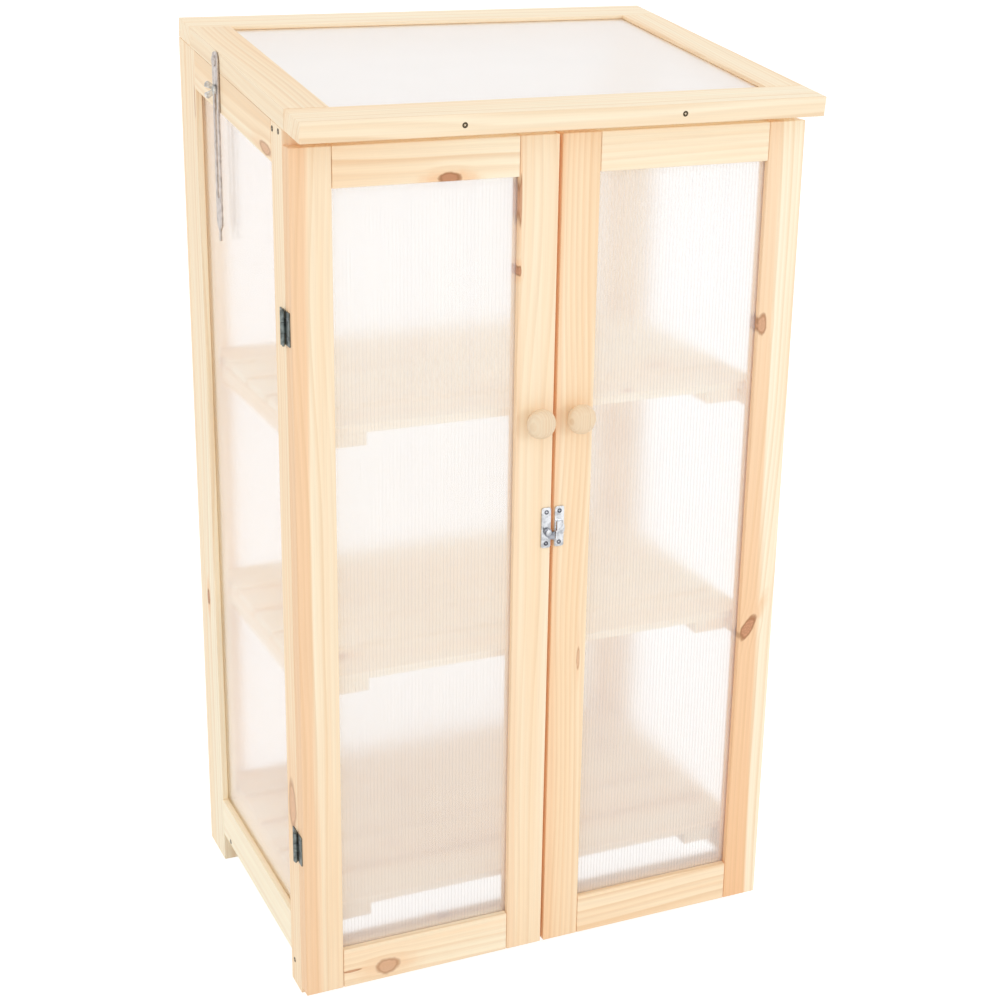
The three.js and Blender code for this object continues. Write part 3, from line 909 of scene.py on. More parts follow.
def screw_tree() -> bpy.types.NodeTree:
    """A screw head on each vertex of a mesh, facing the way that its attribute "aim" says.

    Returns:
        The tree.
    """
    graph, ins, outs = new_tree("screw_heads", "GeometryNodeTree", [
        ("Places", GEOMETRY), ("Radius", FLOAT, 0.003), ("Proud", FLOAT, 0.0002), ("Sunk", FLOAT, 0.0012),
        ("Recess", FLOAT, 0.5), ("Seed", INTEGER, 7), ("Finish", MATERIAL)], [("Geometry", GEOMETRY)])
    rim = graph.add("GeometryNodeMeshCylinder", {
        "Vertices": 28, "Radius": ins["Radius"], "Depth": graph.plus(ins["Proud"], ins["Sunk"])},
        fill_type="NGON")
    middle = graph.times(graph.minus(ins["Proud"], ins["Sunk"]), 0.5)
    head = graph.add("GeometryNodeTransform", {
        "Geometry": rim.outputs[0], "Translation": graph.point({2: middle})})
    long = graph.times(graph.times(ins["Radius"], ins["Recess"]), 2.0)
    thin = graph.times(long, 0.26)
    depth = graph.times(ins["Radius"], 0.5)
    cross = graph.add("GeometryNodeMeshBoolean", operation="DIFFERENCE")
    graph.link(head.outputs[0], cross.inputs["Mesh 1"])
    for reach in ((long, thin), (thin, long)):
        arm = graph.add("GeometryNodeMeshCube", {"Size": graph.point({0: reach[0], 1: reach[1], 2: depth})})
        placed = graph.add("GeometryNodeTransform", {
            "Geometry": arm.outputs[0], "Translation": graph.point({2: ins["Proud"]})})
        graph.link(placed.outputs[0], cross.inputs["Mesh 2"])
    aim = graph.add("GeometryNodeInputNamedAttribute", {"Name": "aim"}, data_type="FLOAT_VECTOR")
    turned = graph.add("FunctionNodeAlignRotationToVector", {"Vector": aim.outputs[0]}, axis="Z")
    spin = graph.add("FunctionNodeRandomValue", {"Seed": ins["Seed"]}, data_type="FLOAT")
    spun = graph.add("FunctionNodeRotateRotation", {
        "Rotation": turned.outputs[0], "Rotate By": graph.add("FunctionNodeAxisAngleToRotation", {
            "Axis": (0, 0, 1), "Angle": graph.times(spin.outputs["Value"], math.pi)}).outputs[0]},
        rotation_space="LOCAL")
    heads = graph.add("GeometryNodeInstanceOnPoints", {
        "Points": ins["Places"], "Instance": cross.outputs[0], "Rotation": spun.outputs[0]})
    real = graph.add("GeometryNodeRealizeInstances", {0: heads.outputs[0]})
    done = graph.add("GeometryNodeSetMaterial", {"Geometry": real.outputs[0], "Material": ins["Finish"]})
    graph.link(done.outputs[0], outs["Geometry"])
    return graph.tree


class Screws:
    """Gathers screw heads while the pieces are made, and shows one mesh of each kind for each body."""

    def __init__(self) -> None:
        """Starts with no screws."""
        self.rows: dict[tuple[ScrewKind, str], list[tuple[Point, Point]]] = {}

    def put(self, kind: ScrewKind, body: str, place: Sequence[float], aim: Point) -> None:
        """Adds one screw.

        Args:
            kind: The kind of screw.
            body: The body that it rides on.
            place: The point on the surface.
            aim: The way that its head faces.
        """
        self.rows.setdefault((kind, body), []).append((tuple(place), aim))

    def show(self) -> None:
        """Makes the screw heads."""
        tree = screw_tree()
        for (kind, body), rows in self.rows.items():
            name = f"{body}_{kind.name}"
            start = bpy.data.meshes.new(name + "_places")
            start.from_pydata([place for place, _ in rows], [], [])
            aim = start.attributes.new("aim", "FLOAT_VECTOR", "POINT")
            aim.data.foreach_set("vector", [c for _, way in rows for c in way])
            mesh = grown(tree, name, start, Radius=kind.radius, Proud=kind.proud, Recess=kind.recess,
                         Finish=Stock.of(kind.finish))
            set_material(mesh, kind.finish, False)
            show(name, mesh, body, kind.slot)


SCREWS = Screws()


# Frames


# Places are read off the photograph as single points and given in millimetres. Most are knots in the wood;
# two stand wholly or partly for painted shadow, dark marks drawn as knots where shade falls at a gap.
KNOTS_AND_PAINTED_SHADOWS: dict[str, tuple[Knot, ...]] = {
    "left_door_top_rail": (Knot(-122.5, -189, 950, 11, 7),),
    "left_door_bottom_rail": (Knot(-195.5, -189, 25, 13, 10, 0.6), Knot(-239.7, -189, 28.8, 9.5, 1.5, 0.8)),
    "left_door_hinge_stile": (),
    "left_door_meeting_stile": (Knot(-41.5, -189, 922, 24, 1.5, 0.8), Knot(-41.5, -189, 847, 5, 2)),
    "right_door_top_rail": (),
    "right_door_bottom_rail": (),
    "right_door_meeting_stile": (Knot(42.3, -189, 381, 13, 2, 0.5),),
    "right_door_hinge_stile": (Knot(264.0, -189, 761, 11, 6, 0.75), Knot(270.5, -189, 382, 15, 7, 1.0, 30)),
    "left_side_front_post": (Knot(-295, -150.3, 240.6, 28, 13, 0.5),),
    # The back post's second knot, long and thin at its top, is painted shadow: the dark line of shade at the
    # panel's edge, drawn as a knot.
    "left_side_back_post": (Knot(-295, 186.6, 364, 9, 5), Knot(-295, 160.5, 990, 16, 1.5, 0.8)),
    # The top rail's knot is partly painted shadow: it sits where shade falls between the panel and the
    # rail's lower edge.
    "left_side_top_rail": (Knot(-295, -111.7, 979.3, 17, 6, 0.55),),
    "left_side_bottom_rail": (),
    "lid_front_rail": (),
    "lid_left_rail": (),
    "lid_right_rail": (),
    "lid_back_rail": (),
}

TONES: dict[str, Tone] = {
    "left_door_hinge_stile": Tone(0.5, 0.3, 0.97),
    "left_door_meeting_stile": Tone(0.6, 0.25, 0.99, -0.3),
    "left_door_top_rail": Tone(0.25, 0.5, 1.0, -0.8),
    "left_door_bottom_rail": Tone(0.4, 0.4, 1.0, -0.35),
    "right_door_hinge_stile": Tone(0.2, 0.35),
    "right_door_meeting_stile": Tone(0.85, 0.4),
    "right_door_top_rail": Tone(0.1, 0.2),
    "right_door_bottom_rail": Tone(0.65, 0.45),
    "left_side_front_post": Tone(0.65, 0.35),
    # The back post's lean makes its lower end paler: painted light, for the bright bounce light at its foot.
    "left_side_back_post": Tone(0.35, 0.3, 0.98, 0.45),
    "left_side_bottom_rail": Tone(-0.1, 0.2),
    "left_side_top_rail": Tone(0.5, 0.45),
    "lid_front_rail": Tone(0.5, 0.35, 0.975, -0.2),
    "lid_back_rail": Tone(0.4, 0.25, 0.98),
    "lid_left_rail": Tone(0.55, 0.35, 0.96),
    "lid_right_rail": Tone(0.5, 0.3, 0.98),
}

# Painted light and shade by height: the upper shelves are paler and the bottom shelf darker, for the light
# that reaches each shelf and the shadow of the shelves above.
SHELF_TONES_AND_PAINTED_SHADE: dict[str, Tone] = {
    "bottom": Tone(0.35, shade=0.92),
    "middle": Tone(0.05),
    "top": Tone(0.0),
}

BANDS: dict[str, Band] = {
    "left_door_hinge_stile": Band(-1, 16, 16, 0.75),
    "left_door_meeting_stile": Band(-1, 12, 0, 0.35),
    "right_door_meeting_stile": Band(-1, 14, 3, 0.55),
    "right_door_hinge_stile": Band(-1, 32, 15, 1.0, 0.45),
}


@dataclass
class PineFrame:
    """A frame of planed boards, each an eased copy of its CAD node with its own grain."""

    members: Sequence[str]
    slot: Slot
    through: Sequence[str] = ()
    ease: float = 0.9 * MM
    joint: float = 0.25 * MM
    tenon_thick: float = 7 * MM
    tenon_width_share: float = 0.55

    def build(self) -> None:
        """Makes the boards."""
        for node in self.members:
            name = node + "_board"
            mesh = eased_copy(node, name, self.ease)
            pitch = LID_PITCH if node.startswith("lid_") or node.endswith("side_top_rail") else 0.0
            if node.endswith("_rail") and node not in self.through:
                self.part_joints(mesh, pitch)
            timber = Timber(node, TONES.get(node, Tone()), KNOTS_AND_PAINTED_SHADOWS.get(node), BANDS.get(node))
            timber.write(mesh, slice(None), pitch)
            set_material(mesh, PINE, False)
            show(name, mesh, body_of(node), self.slot, node)

    def part_joints(self, mesh: bpy.types.Mesh, pitch: float) -> None:
        """Draws a rail's ends back by a hair, so that its joints show, and runs a tenon through it.

        Args:
            mesh: The rail's mesh.
            pitch: The rail's lean about X.
        """
        turn = Matrix.Rotation(-pitch, 4, "X")
        mesh.transform(turn)
        points = points_of(mesh)
        low, high = points.min(0), points.max(0)
        size, middle = high - low, Vector((low + high) / 2)
        along, across, through = np.argsort(-size)
        shrink, tenon = np.ones(3), np.zeros(3)
        shrink[along] -= 2 * self.joint / size[along]
        tenon[along] = size[along] + 2 * self.joint
        tenon[across] = size[across] * self.tenon_width_share
        tenon[through] = self.tenon_thick
        work = bmesh.new()
        work.from_mesh(mesh)
        away = Matrix.Translation(middle)
        work.transform(away @ Matrix.Diagonal((*shrink, 1.0)) @ away.inverted())
        bmesh.ops.create_cube(work, size=1.0, matrix=away @ Matrix.Diagonal((*tenon, 1.0)))
        work.to_mesh(mesh)
        work.free()
        mesh.transform(turn.inverted())


@dataclass
class CabinetFrame:
    """The side frames, the back frame, the boards that tie them, and the screws that hold them."""

    side_screws: tuple[tuple[float, float], ...] = (
        (-158.0 * MM, 1003.0 * MM), (-137.9 * MM, 1003.0 * MM), (-144.4 * MM, 31 * MM),
        (123.9 * MM, 44 * MM))
    back_screw_heights: tuple[float, ...] = (60 * MM, 300 * MM, 560 * MM, 820 * MM, 1020 * MM)
    back_screw_inset: float = 10 * MM

    def build(self) -> None:
        """Makes the boards and places their screws."""
        sides = [f"{side.word}_side_{part}" for side in Side
                 for part in ("front_post", "back_post", "top_rail", "bottom_rail")]
        backs = [f"back_{part}" for part in ("left_stile", "right_stile", "top_rail", "bottom_rail")]
        cleats = [f"{side.word}_{place}_cleat" for side in Side for place in ("bottom", "middle", "top")]
        PineFrame([*sides, *backs, "front_header", "front_sill", *cleats], Slot.PINE).build()
        for side in Side:
            low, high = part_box(f"{side.word}_side_front_post")
            x = low.x if side is Side.LEFT else high.x
            for y, z in self.side_screws:
                SCREWS.put(FRAME_SCREW, "cabinet", (x, y, z), (side.value, 0, 0))
            low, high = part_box(f"back_{side.word}_stile")
            x = (low.x if side is Side.LEFT else high.x) - side.value * self.back_screw_inset
            for z in self.back_screw_heights:
                SCREWS.put(FRAME_SCREW, "cabinet", (x, high.y, z), (0, 1, 0))


# Hollow sheet


def sheet_tree() -> bpy.types.NodeTree:
    """A hollow sheet: one closed section with a row of flutes, drawn out along Z to a level or sloping top.

    Returns:
        The tree.
    """
    graph, ins, outs = new_tree("hollow_sheet", "GeometryNodeTree", [
        ("Width", FLOAT, 0.2), ("Length", FLOAT, 0.8), ("Thickness", FLOAT, 0.004),
        ("Flute Pitch", FLOAT, 0.0042), ("Wall", FLOAT, 0.0004), ("Web", FLOAT, 0.0003),
        ("Top Slope", FLOAT, 0.0), ("Hollow", BOOLEAN, True), ("Finish", MATERIAL),
    ], [("Geometry", GEOMETRY)])
    outer = graph.add("GeometryNodeCurvePrimitiveQuadrilateral", {
        "Width": ins["Width"], "Height": ins["Thickness"]}, mode="RECTANGLE")
    flute = graph.add("GeometryNodeCurvePrimitiveQuadrilateral", {
        "Width": graph.minus(ins["Flute Pitch"], ins["Web"]),
        "Height": graph.minus(ins["Thickness"], graph.times(ins["Wall"], 2.0))},
        mode="RECTANGLE")
    count = graph.calc("FLOOR", graph.calc("DIVIDE", graph.minus(ins["Width"], ins["Web"]),
                                           ins["Flute Pitch"]))
    start = graph.times(graph.times(graph.minus(count, 1.0), ins["Flute Pitch"]),
                       -0.5)
    line = graph.add("GeometryNodeMeshLine", {
        "Count": count, "Start Location": graph.point({0: start}),
        "Offset": graph.point({0: ins["Flute Pitch"]})}, mode="OFFSET")
    flutes = graph.add("GeometryNodeInstanceOnPoints", {
        "Points": line.outputs[0], "Instance": flute.outputs[0], "Selection": ins["Hollow"]})
    whole = graph.add("GeometryNodeJoinGeometry")
    real_flutes = graph.add("GeometryNodeRealizeInstances", {0: flutes.outputs[0]})
    for piece in (outer, real_flutes):
        graph.link(piece.outputs[0], whole.inputs[0])
    section = graph.add("GeometryNodeFillCurve", {"Curve": whole.outputs[0]}, mode="TRIANGLES")
    drawn = graph.add("GeometryNodeExtrudeMesh", {
        "Mesh": section.outputs[0], "Offset": (0.0, 0.0, 1.0), "Offset Scale": ins["Length"],
        "Individual": False}, mode="FACES")
    foot = graph.add("GeometryNodeFlipFaces", {"Mesh": section.outputs[0]})
    closed = graph.add("GeometryNodeJoinGeometry")
    for piece in (drawn, foot):
        graph.link(piece.outputs[0], closed.inputs[0])
    merged = graph.add("GeometryNodeMergeByDistance", {"Geometry": closed.outputs[0], "Distance": 2 * WELD})
    place = graph.split(graph.add("GeometryNodeInputPosition").outputs[0])
    on_top = graph.add("FunctionNodeCompare", {
        0: place[2], 1: graph.times(ins["Length"], 0.5)}, operation="GREATER_THAN")
    sloped = graph.add("GeometryNodeSetPosition", {
        "Geometry": merged.outputs[0], "Selection": on_top.outputs[0],
        "Offset": graph.point({
            2: graph.times(place[0], ins["Top Slope"])})})
    real = graph.add("GeometryNodeRealizeInstances", {0: sloped.outputs[0]})
    done = graph.add("GeometryNodeSetMaterial", {"Geometry": real.outputs[0], "Material": ins["Finish"]})
    graph.link(done.outputs[0], outs["Geometry"])
    return graph.tree


class Lie(Enum):
    """How a sheet lies: the ways of its width, of its thickness and of its flutes, each as a point."""

    FRONT = ((1, 0, 0), (0, 1, 0), (0, 0, 1))
    SIDE = ((0, 1, 0), (-1, 0, 0), (0, 0, 1))
    LID = ((0, 1, 0), (0, 0, 1), (1, 0, 0))


@dataclass(frozen=True)
class SheetLook:
    """How clear a sheet looks.

    Opacity and shadow are what its walls stop of the view and of the light. Blur, bend and tint are the
    film's, and lines are the scale of the extrusion lines along each axis.
    """

    opacity: float
    shadow: float
    blur: float
    bend: float
    tint: Colour
    lines: Point = (240.0, 240.0, 0.6)


SHEET_LOOKS: dict[Lie, SheetLook] = {
    Lie.FRONT: SheetLook(0.14, 0.045, 0.24, 1.3, (255, 255, 255)),
    Lie.SIDE: SheetLook(0.012, 0.15, 0.17, 1.15, (248, 245, 244)),
    Lie.LID: SheetLook(0.1, 0.05, 0.34, 1.3, (251, 248, 246), (0.6, 240.0, 240.0)),
}


@dataclass
class HollowSheets:
    """The six clear panels: hollow sheet with upright flutes, or flutes across in the lid, under a film."""

    pitch: float = 4.2 * MM
    wall: float = 0.4 * MM
    web: float = 0.35 * MM
    film: float = 0.2 * MM
    film_gap: float = 0.05 * MM

    def build(self) -> None:
        """Makes the panels. Each goes with the way along its thickness that is outwards."""
        tree = sheet_tree()
        self.panel(tree, "back_panel", Lie.FRONT, 1)
        self.panel(tree, "lid_panel", Lie.LID, 1)
        for side in Side:
            self.panel(tree, f"{side.word}_door_panel", Lie.FRONT, -1)
            self.panel(tree, f"{side.word}_side_panel", Lie.SIDE, -side.value)

    def panel(self, tree: bpy.types.NodeTree, node: str, lie: Lie, outwards: int) -> None:
        """Makes one panel.

        Args:
            tree: The sheet's tree.
            node: The CAD node that it stands for.
            lie: How it lies.
            outwards: The way outwards along its thickness.
        """
        turn = Matrix(lie.value).transposed().to_4x4()
        if lie is Lie.LID:
            turn = Matrix.Rotation(LID_PITCH, 4, "X") @ turn
        laid = points_of(frame["nodes"][node].data) @ np.array(turn.to_3x3())
        low, high = laid.min(0), laid.max(0)
        slope = math.tan(LID_PITCH) if lie is Lie.SIDE else 0.0
        length = high[2] - low[2] - slope * (high[0] - low[0]) / 2
        width, thick = high[0] - low[0], high[1] - low[1]
        middle = (low[0] + high[0]) / 2
        look, kind = SHEET_LOOKS[lie], lie.name.lower()
        layers = {
            "sheet": (thick - self.film - self.film_gap, self.wall,
                      SheetFinish(f"hollow_sheet_{kind}", look.lines, look.opacity, look.shadow)),
            "film": (self.film, 0.0, FilmFinish(f"film_{kind}", look.tint, look.blur, look.bend)),
        }
        for layer, (depth, wall, finish) in layers.items():
            name = f"{node}_{layer}"
            mesh = grown(tree, name, None, Width=float(width), Length=float(length), Thickness=float(depth),
                         Flute_Pitch=self.pitch, Wall=wall, Web=self.web, Top_Slope=slope,
                         Hollow=layer == "sheet", Finish=Stock.of(finish))
            inner, outer = (low[1], high[1]) if outwards > 0 else (high[1], low[1])
            across = inner + outwards * depth / 2 if layer == "sheet" else outer - outwards * depth / 2
            mesh.transform(turn @ Matrix.Translation(Vector((middle, across, low[2]))))
            set_material(mesh, finish, False)
            show(name, mesh, body_of(node), Slot.SHEET, node)


# Shelves


def board_row_tree() -> bpy.types.NodeTree:
    """A row of boards along Y, each lying along X with its long edges rounded.

    Returns:
        The tree.
    """
    graph, ins, outs = new_tree("board_row", "GeometryNodeTree", [
        ("Length", FLOAT, 0.5), ("Width", FLOAT, 0.06), ("Thickness", FLOAT, 0.009),
        ("Spacing", FLOAT, 0.07), ("Count", INTEGER, 5), ("Rounding", FLOAT, 0.001), ("Finish", MATERIAL),
    ], [("Geometry", GEOMETRY)])
    section = graph.add("GeometryNodeCurvePrimitiveQuadrilateral", {
        "Width": ins["Width"], "Height": ins["Thickness"]}, mode="RECTANGLE")
    eased = graph.add("GeometryNodeFilletCurve", {
        "Curve": section.outputs[0], "Radius": ins["Rounding"], "Count": 3}, mode="POLY")
    half = graph.times(ins["Length"], 0.5)
    rail = graph.add("GeometryNodeCurvePrimitiveLine", {
        "Start": graph.point({0: graph.times(half, -1.0)}),
        "End": graph.point({0: half})})
    board = graph.add("GeometryNodeCurveToMesh", {
        "Curve": rail.outputs[0], "Profile Curve": eased.outputs[0], "Fill Caps": True})
    line = graph.add("GeometryNodeMeshLine", {
        "Count": ins["Count"], "Offset": graph.point({1: ins["Spacing"]})},
        mode="OFFSET")
    row = graph.add("GeometryNodeInstanceOnPoints", {
        "Points": line.outputs[0], "Instance": board.outputs[0]})
    real = graph.add("GeometryNodeRealizeInstances", {0: row.outputs[0]})
    merged = graph.add("GeometryNodeMergeByDistance", {"Geometry": real.outputs[0], "Distance": WELD})
    done = graph.add("GeometryNodeSetMaterial", {"Geometry": merged.outputs[0], "Material": ins["Finish"]})
    graph.link(done.outputs[0], outs["Geometry"])
    return graph.tree


@dataclass
class Shelf:
    """A loose shelf: five slats across the cabinet, nailed to two battens below them."""

    place: str
    # Besides the slats' colour, the tone holds painted light and shade for the shelf's height.
    tone: Tone
    slats: int = 5
    slat_thick: float = 9 * MM
    slat_gap: float = 7.75 * MM
    batten_thick: float = 14 * MM
    batten_width: float = 40 * MM
    batten_inset: float = 28 * MM
    rounding: float = 1.1 * MM
    nail_inset: float = 12 * MM

    def build(self, tree: bpy.types.NodeTree) -> None:
        """Makes the slats, the battens and the nail heads.

        Args:
            tree: The tree that makes a row of boards.
        """
        body = node = f"{self.place}_shelf"
        low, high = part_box(node)
        depth, width = high.y - low.y, high.x - low.x
        slat = (depth - (self.slats - 1) * self.slat_gap) / self.slats
        rows = grown(tree, node + "_slats", None, Length=width, Width=slat, Thickness=self.slat_thick,
                     Spacing=slat + self.slat_gap, Count=self.slats, Rounding=self.rounding,
                     Finish=Stock.of(PINE))
        rows.transform(Matrix.Translation((
            (low.x + high.x) / 2, low.y + slat / 2, high.z - self.slat_thick / 2)))
        self.finish(rows, self.slats, node)
        show(node + "_slats", rows, body, Slot.PALE_PINE, node)
        spread = width - 2 * self.batten_inset - self.batten_width
        battens = grown(tree, node + "_battens", None, Length=depth, Width=self.batten_width,
                        Thickness=self.batten_thick, Spacing=spread, Count=2, Rounding=self.rounding,
                        Finish=Stock.of(PINE))
        first = low.x + self.batten_inset + self.batten_width / 2
        battens.transform(Matrix.Translation((first, (low.y + high.y) / 2, low.z + self.batten_thick / 2))
                          @ Matrix(((0, 1, 0, 0), (1, 0, 0, 0), (0, 0, 1, 0), (0, 0, 0, 1))))
        battens.flip_normals()
        self.finish(battens, 2, node + "_batten")
        show(node + "_battens", battens, body, Slot.PALE_PINE)
        for board in range(self.slats):
            y = low.y + board * (slat + self.slat_gap)
            for x in (first, low.x + high.x - first):
                for inset in (self.nail_inset, slat - self.nail_inset):
                    SCREWS.put(BRAD, body, (x, y + inset, high.z), (0, 0, 1))

    def finish(self, mesh: bpy.types.Mesh, count: int, seed: str) -> None:
        """Gives each board of a row its own grain.

        Args:
            mesh: The row's mesh.
            count: How many boards it has.
            seed: The name that the boards' grain is drawn from.
        """
        share = len(mesh.vertices) // count
        for board in range(count):
            draw = random.Random(f"{seed}{board}")
            tone = Tone(self.tone.warmth + draw.uniform(-0.25, 0.25), draw.uniform(0.25, 0.5),
                        self.tone.shade - draw.uniform(0, 0.025))
            timber = Timber(f"{seed}{board}", tone, stray_knots=draw.choice((0, 1, 2)))
            timber.write(mesh, slice(board * share, (board + 1) * share), 0.0)
        set_material(mesh, PINE, False)


# Knobs and hardware


@dataclass
class Knob:
    """A turned knob: a straight neck and a flattened ball with its end grain to the front."""

    node: str
    neck_radius: float = 8.5 * MM
    neck_length: float = 8 * MM
    segments: int = 64
    steps: int = 22

    def build(self) -> None:
        """Makes the knob."""
        low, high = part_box(self.node)
        radius, depth = (high.x - low.x) / 2, high.y - low.y
        head = depth - self.neck_length
        profile = [(self.neck_radius, 0.0), (self.neck_radius * 0.97, self.neck_length * 0.45)]
        for step in range(self.steps + 1):
            turn = math.pi * step / self.steps
            flat = 1 - 0.06 * math.cos(turn)
            reach = radius * math.sin(turn) ** 0.86 if 0 < step < self.steps else 0.0
            out = self.neck_length + head * (1 - math.cos(turn)) / 2 * flat
            if reach > self.neck_radius * 0.99 or step > self.steps / 2:
                profile.append((reach, min(out, depth)))
        work = bmesh.new()
        rings = []
        for reach, out in profile[:-1]:
            rings.append([work.verts.new((reach * math.cos(a), -out, reach * math.sin(a)))
                          for a in (2 * math.pi * s / self.segments for s in range(self.segments))])
        tip = work.verts.new((0, -depth, 0))
        foot = work.verts.new((0, 0, 0))
        for near, far in zip(rings, rings[1:]):
            for s in range(self.segments):
                t = (s + 1) % self.segments
                work.faces.new((near[s], near[t], far[t], far[s]))
        for s in range(self.segments):
            t = (s + 1) % self.segments
            work.faces.new((rings[-1][s], rings[-1][t], tip))
            work.faces.new((rings[0][t], rings[0][s], foot))
        bmesh.ops.recalc_face_normals(work, faces=work.faces)
        mesh = bpy.data.meshes.new(self.node + "_turned")
        work.to_mesh(mesh)
        work.free()
        mesh.transform(Matrix.Translation(((low.x + high.x) / 2, high.y, (low.z + high.z) / 2)))
        # The shade of 0.87 darkens the whole knob. Part of that is its own colour and part is painted shade
        # for the shading under and beside the ball.
        Timber(self.node, Tone(0.6, 0.5, 0.87), ()).write(mesh, slice(None), 0.0)
        set_material(mesh, TURNED_PINE, True)
        show(self.node + "_turned", mesh, body_of(self.node), Slot.PALE_PINE, self.node)


@dataclass
class Hardware:
    """Metal pieces that are eased copies of their CAD nodes."""

    nodes: Sequence[str]
    finish: MetalFinish
    ease: float = 0.3 * MM

    def build(self) -> None:
        """Makes the pieces."""
        for node in self.nodes:
            mesh = eased_copy(node, node + "_metal", self.ease)
            set_material(mesh, self.finish, True)
            show(node + "_metal", mesh, body_of(node), Slot.ZINC, node)


@dataclass
class Hinges:
    """Four butt hinges on the doors' outer edges and two on the lid's back edge."""

    screw_rise: float = 10.5 * MM
    screw_inset: float = 5 * MM
    lid_screw_spread: float = 16 * MM
    lid_screw_rise: float = 8 * MM
    lid_screw_drop: float = 7 * MM
    door_axis: float = -168.852 * MM
    knuckle_reach: float = 8 * MM

    def build(self) -> None:
        """Makes the leaves and places their screws."""
        doors = [f"{side.word}_{place}_hinge" for side in Side for place in ("lower", "upper")]
        lids = [f"{side.word}_lid_hinge" for side in Side]
        leaves = [f"{hinge}_{leaf}" for hinge in doors for leaf in ("door_leaf", "frame_leaf")]
        leaves += [f"{hinge}_{leaf}" for hinge in lids for leaf in ("lid_leaf", "frame_leaf")]
        Hardware(leaves, HINGE_ZINC).build()
        for hinge in doors:
            way = -1 if hinge.startswith("left") else 1
            for leaf, toward in (("door_leaf", -1), ("frame_leaf", 1)):
                node = f"{hinge}_{leaf}"
                low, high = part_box(node)
                face = self.plate_face(node, way)
                y = (low.y if toward < 0 else high.y) - toward * self.screw_inset
                for rise in (-self.screw_rise, self.screw_rise):
                    place = (face, y, (low.z + high.z) / 2 + rise)
                    SCREWS.put(HINGE_SCREW, body_of(node), place, (way, 0, 0))
        for hinge in lids:
            low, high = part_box(f"{hinge}_frame_leaf")
            plate = points_of(frame["nodes"][f"{hinge}_frame_leaf"].data)
            back = plate[plate[:, 2] < low.z + MM][:, 1].max()
            for x in (-self.lid_screw_spread, self.lid_screw_spread):
                place = ((low.x + high.x) / 2 + x, back, low.z + self.lid_screw_rise)
                SCREWS.put(LID_SCREW, "cabinet", place, (0, 1, 0))
            tilt = Matrix.Rotation(LID_PITCH, 3, "X")
            points = points_of(frame["nodes"][f"{hinge}_lid_leaf"].data) @ np.array(tilt)
            top = points[:, 2].max()
            face = points[points[:, 2] > top - MM][:, 1].max()
            for x in (-self.lid_screw_spread, self.lid_screw_spread):
                spot = tilt @ Vector(((low.x + high.x) / 2 + x, face, top - self.lid_screw_drop))
                SCREWS.put(LID_SCREW, "lid", spot, (0, math.cos(LID_PITCH), math.sin(LID_PITCH)))

    def plate_face(self, node: str, way: int) -> float:
        """Where a door leaf's flat plate faces outwards.

        Args:
            node: The leaf's CAD node.
            way: The way outwards along X.

        Returns:
            The plate's outer X.
        """
        points = points_of(frame["nodes"][node].data)
        plate = points[abs(points[:, 1] - self.door_axis) > self.knuckle_reach][:, 0]
        return plate.max() if way > 0 else plate.min()


@dataclass
class Latch:
    """The cabinet latch: two small plates with a swivelling crescent lever."""

    screw_side: float = 8 * MM
    screw_rise: float = 18.7 * MM
    plate_thick: float = 1.5 * MM
    ease: float = 0.25 * MM

    def build(self) -> None:
        """Makes the latch and places its screws."""
        Hardware(("latch_plate", "latch_catch"), LATCH_ZINC, self.ease).build()
        Hardware(("latch_lever",), LEVER_ZINC, self.ease).build()
        low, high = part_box("latch_plate")
        gap = (high.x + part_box("latch_catch")[0].x) / 2
        face = high.y - self.plate_thick
        for way, body in ((-1, "left_door"), (1, "right_door")):
            for rise in (-self.screw_rise, self.screw_rise):
                place = (gap + way * self.screw_side, face, (low.z + high.z) / 2 + rise)
                SCREWS.put(LATCH_SCREW, body, place, (0, -1, 0))


@dataclass
class Lid:
    """The lid's pine frame with the two screws in its front edge."""

    screw_side: float = 126 * MM

    def build(self) -> None:
        """Makes the frame and places its screws."""
        through, between = ("lid_front_rail", "lid_back_rail"), ("lid_left_rail", "lid_right_rail")
        PineFrame([*through, *between], Slot.PINE, through).build()
        turn = Matrix.Rotation(LID_PITCH, 3, "X")
        laid = points_of(frame["nodes"]["lid_front_rail"].data) @ np.array(turn)
        low, high = laid.min(0), laid.max(0)
        middle = (low + high) / 2
        for way in (-1, 1):
            place = turn @ Vector((middle[0] + way * self.screw_side, low[1], middle[2]))
            SCREWS.put(FRAME_SCREW, "lid", place, (0, -math.cos(LID_PITCH), -math.sin(LID_PITCH)))


# Studio


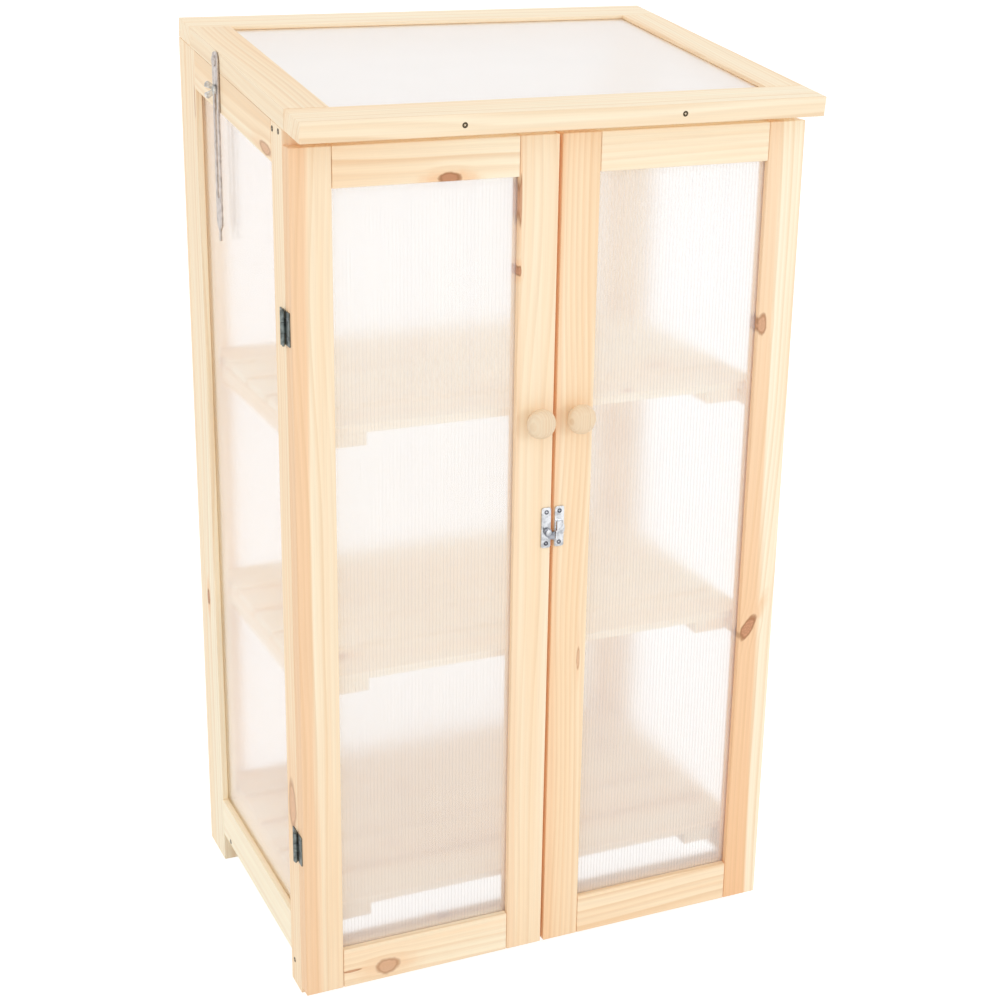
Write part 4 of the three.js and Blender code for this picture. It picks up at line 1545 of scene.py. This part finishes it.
@dataclass
class Studio:
    """The pale floor, soft lamps and the camera at the photograph's angle."""

    eye: Point = (-0.85653, -1.97331, 1.29802)
    turn: float = math.radians(24.11)
    look_down: float = math.radians(19.32)
    roll: float = math.radians(0.9)
    lens: float = 67.6
    shift: tuple[float, float] = (-0.00204, -0.01933)
    world_light: float = 0.94
    floor_seen: float = 0.3
    floor_glow: float = 0.9
    floor_reach: float = 30.0
    floor_drop: float = 0.3 * MM
    floor_pale: float = 0.9
    floor_roughness: float = 0.9
    sensor: float = 36.0
    aim: Point = (0.0, 0.0, 0.5)
    lamps: Sequence[tuple[str, Point, float, float]] = field(default_factory=lambda: (
        ("key", (-1.9, -2.6, 2.9), 2.4, 8.0), ("fill", (1.5, -3.4, 1.5), 0.9, 12.0),
        ("left", (-3.1, 0.1, 1.5), 3.6, 6.0), ("right", (3.0, 0.4, 1.6), 2.4, 6.0)))

    def build(self) -> None:
        """Sets the stage."""
        self.camera()
        self.world()
        self.floor()
        for name, place, size, power in self.lamps:
            light = bpy.data.lights.new(name, "AREA")
            light.size, light.energy = size, power
            lamp = bpy.data.objects.new(name, light)
            lamp.location = place
            lamp.rotation_euler = (Vector(self.aim) - Vector(place)).to_track_quat("-Z", "Y").to_euler()
            bpy.context.scene.collection.objects.link(lamp)
        bpy.context.scene.view_settings.view_transform = "Standard"

    def camera(self) -> None:
        """Makes the camera."""
        ahead = Vector((math.sin(self.turn) * math.cos(self.look_down),
                        math.cos(self.turn) * math.cos(self.look_down), -math.sin(self.look_down)))
        right = Vector((math.cos(self.turn), -math.sin(self.turn), 0))
        up = right.cross(ahead)
        cos, sin = math.cos(self.roll), math.sin(self.roll)
        right, up = right * cos + up * sin, up * cos - right * sin
        data = bpy.data.cameras.new("camera")
        data.lens, data.sensor_width = self.lens, self.sensor
        data.shift_x, data.shift_y = self.shift
        camera = bpy.data.objects.new("camera", data)
        turn = Matrix((right, up, -ahead)).transposed().to_4x4()
        camera.matrix_world = Matrix.Translation(self.eye) @ turn
        bpy.context.scene.collection.objects.link(camera)
        bpy.context.scene.camera = camera

    def seen(self, graph: Graph) -> Socket:
        """What the camera, a reflection or clear plastic sees: 1 there, and 0 for light on the object.

        Args:
            graph: The graph that needs it.

        Returns:
            The number.
        """
        path = graph.add("ShaderNodeLightPath").outputs
        return graph.most(path["Is Camera Ray"], path["Is Glossy Ray"], path["Is Transmission Ray"])

    def world(self) -> None:
        """Makes the white surroundings."""
        world = bpy.data.worlds.new("surroundings")
        world.use_nodes = True
        world.node_tree.nodes.clear()
        graph = Graph(world.node_tree)
        strength = graph.ramp(self.seen(graph), 0.0, 1.0, self.world_light, 1.0)
        back = graph.add("ShaderNodeBackground", {"Color": (1, 1, 1, 1), "Strength": strength})
        graph.add("ShaderNodeOutputWorld", {"Surface": back.outputs[0]})
        bpy.context.scene.world = world

    def floor(self) -> None:
        """Makes the floor, which keeps the object's shadow."""
        mesh = bpy.data.meshes.new("floor")
        corners = ((-1, -1), (1, -1), (1, 1), (-1, 1))
        reach = self.floor_reach
        mesh.from_pydata([(x * reach, y * reach, -self.floor_drop) for x, y in corners], [], [(0, 1, 2, 3)])
        floor = bpy.data.objects.new("floor", mesh)
        bpy.context.scene.collection.objects.link(floor)
        material, graph, shader = begin_material("floor")
        seen = self.seen(graph)
        pale = graph.ramp(seen, 0.0, 1.0, self.floor_pale, self.floor_seen)
        graph.link(pale, shader.inputs["Base Color"])
        shader.inputs["Roughness"].default_value = self.floor_roughness
        shader.inputs["Specular IOR Level"].default_value = 0.0
        shader.inputs["Emission Color"].default_value = (1, 1, 1, 1)
        glow = graph.times(seen, self.floor_glow)
        graph.link(glow, shader.inputs["Emission Strength"])
        mesh.materials.append(material)


# A view ray crosses two or three sheets, and each has films, walls and webs.
BOUNCES = {"transparent_max_bounces": 48, "max_bounces": 32, "transmission_bounces": 20,
           "diffuse_bounces": 10}


def main() -> None:
    """Builds the greenhouse and its studio."""
    logging.basicConfig(level=logging.INFO, format="%(name)s: %(message)s")
    Studio().build()
    CabinetFrame().build()
    for side in Side:
        parts = ("hinge_stile", "meeting_stile", "top_rail", "bottom_rail")
        PineFrame([f"{side.word}_door_{part}" for part in parts], Slot.PALE_PINE).build()
        Knob(f"{side.word}_door_knob").build()
    Lid().build()
    HollowSheets().build()
    rows = board_row_tree()
    for place, tone in SHELF_TONES_AND_PAINTED_SHADE.items():
        Shelf(place, tone).build(rows)
    Hinges().build()
    Latch().build()
    Hardware(("lid_stay",), STAY_ZINC, STAY_EASE).build()
    Hardware(("stay_wing_screw",), WING_ZINC, STAY_EASE).build()
    SCREWS.show()


if __name__ == "__main__":
    main()
    cycles = bpy.context.scene.cycles
    for kind, most in BOUNCES.items():
        setattr(cycles, kind, most)
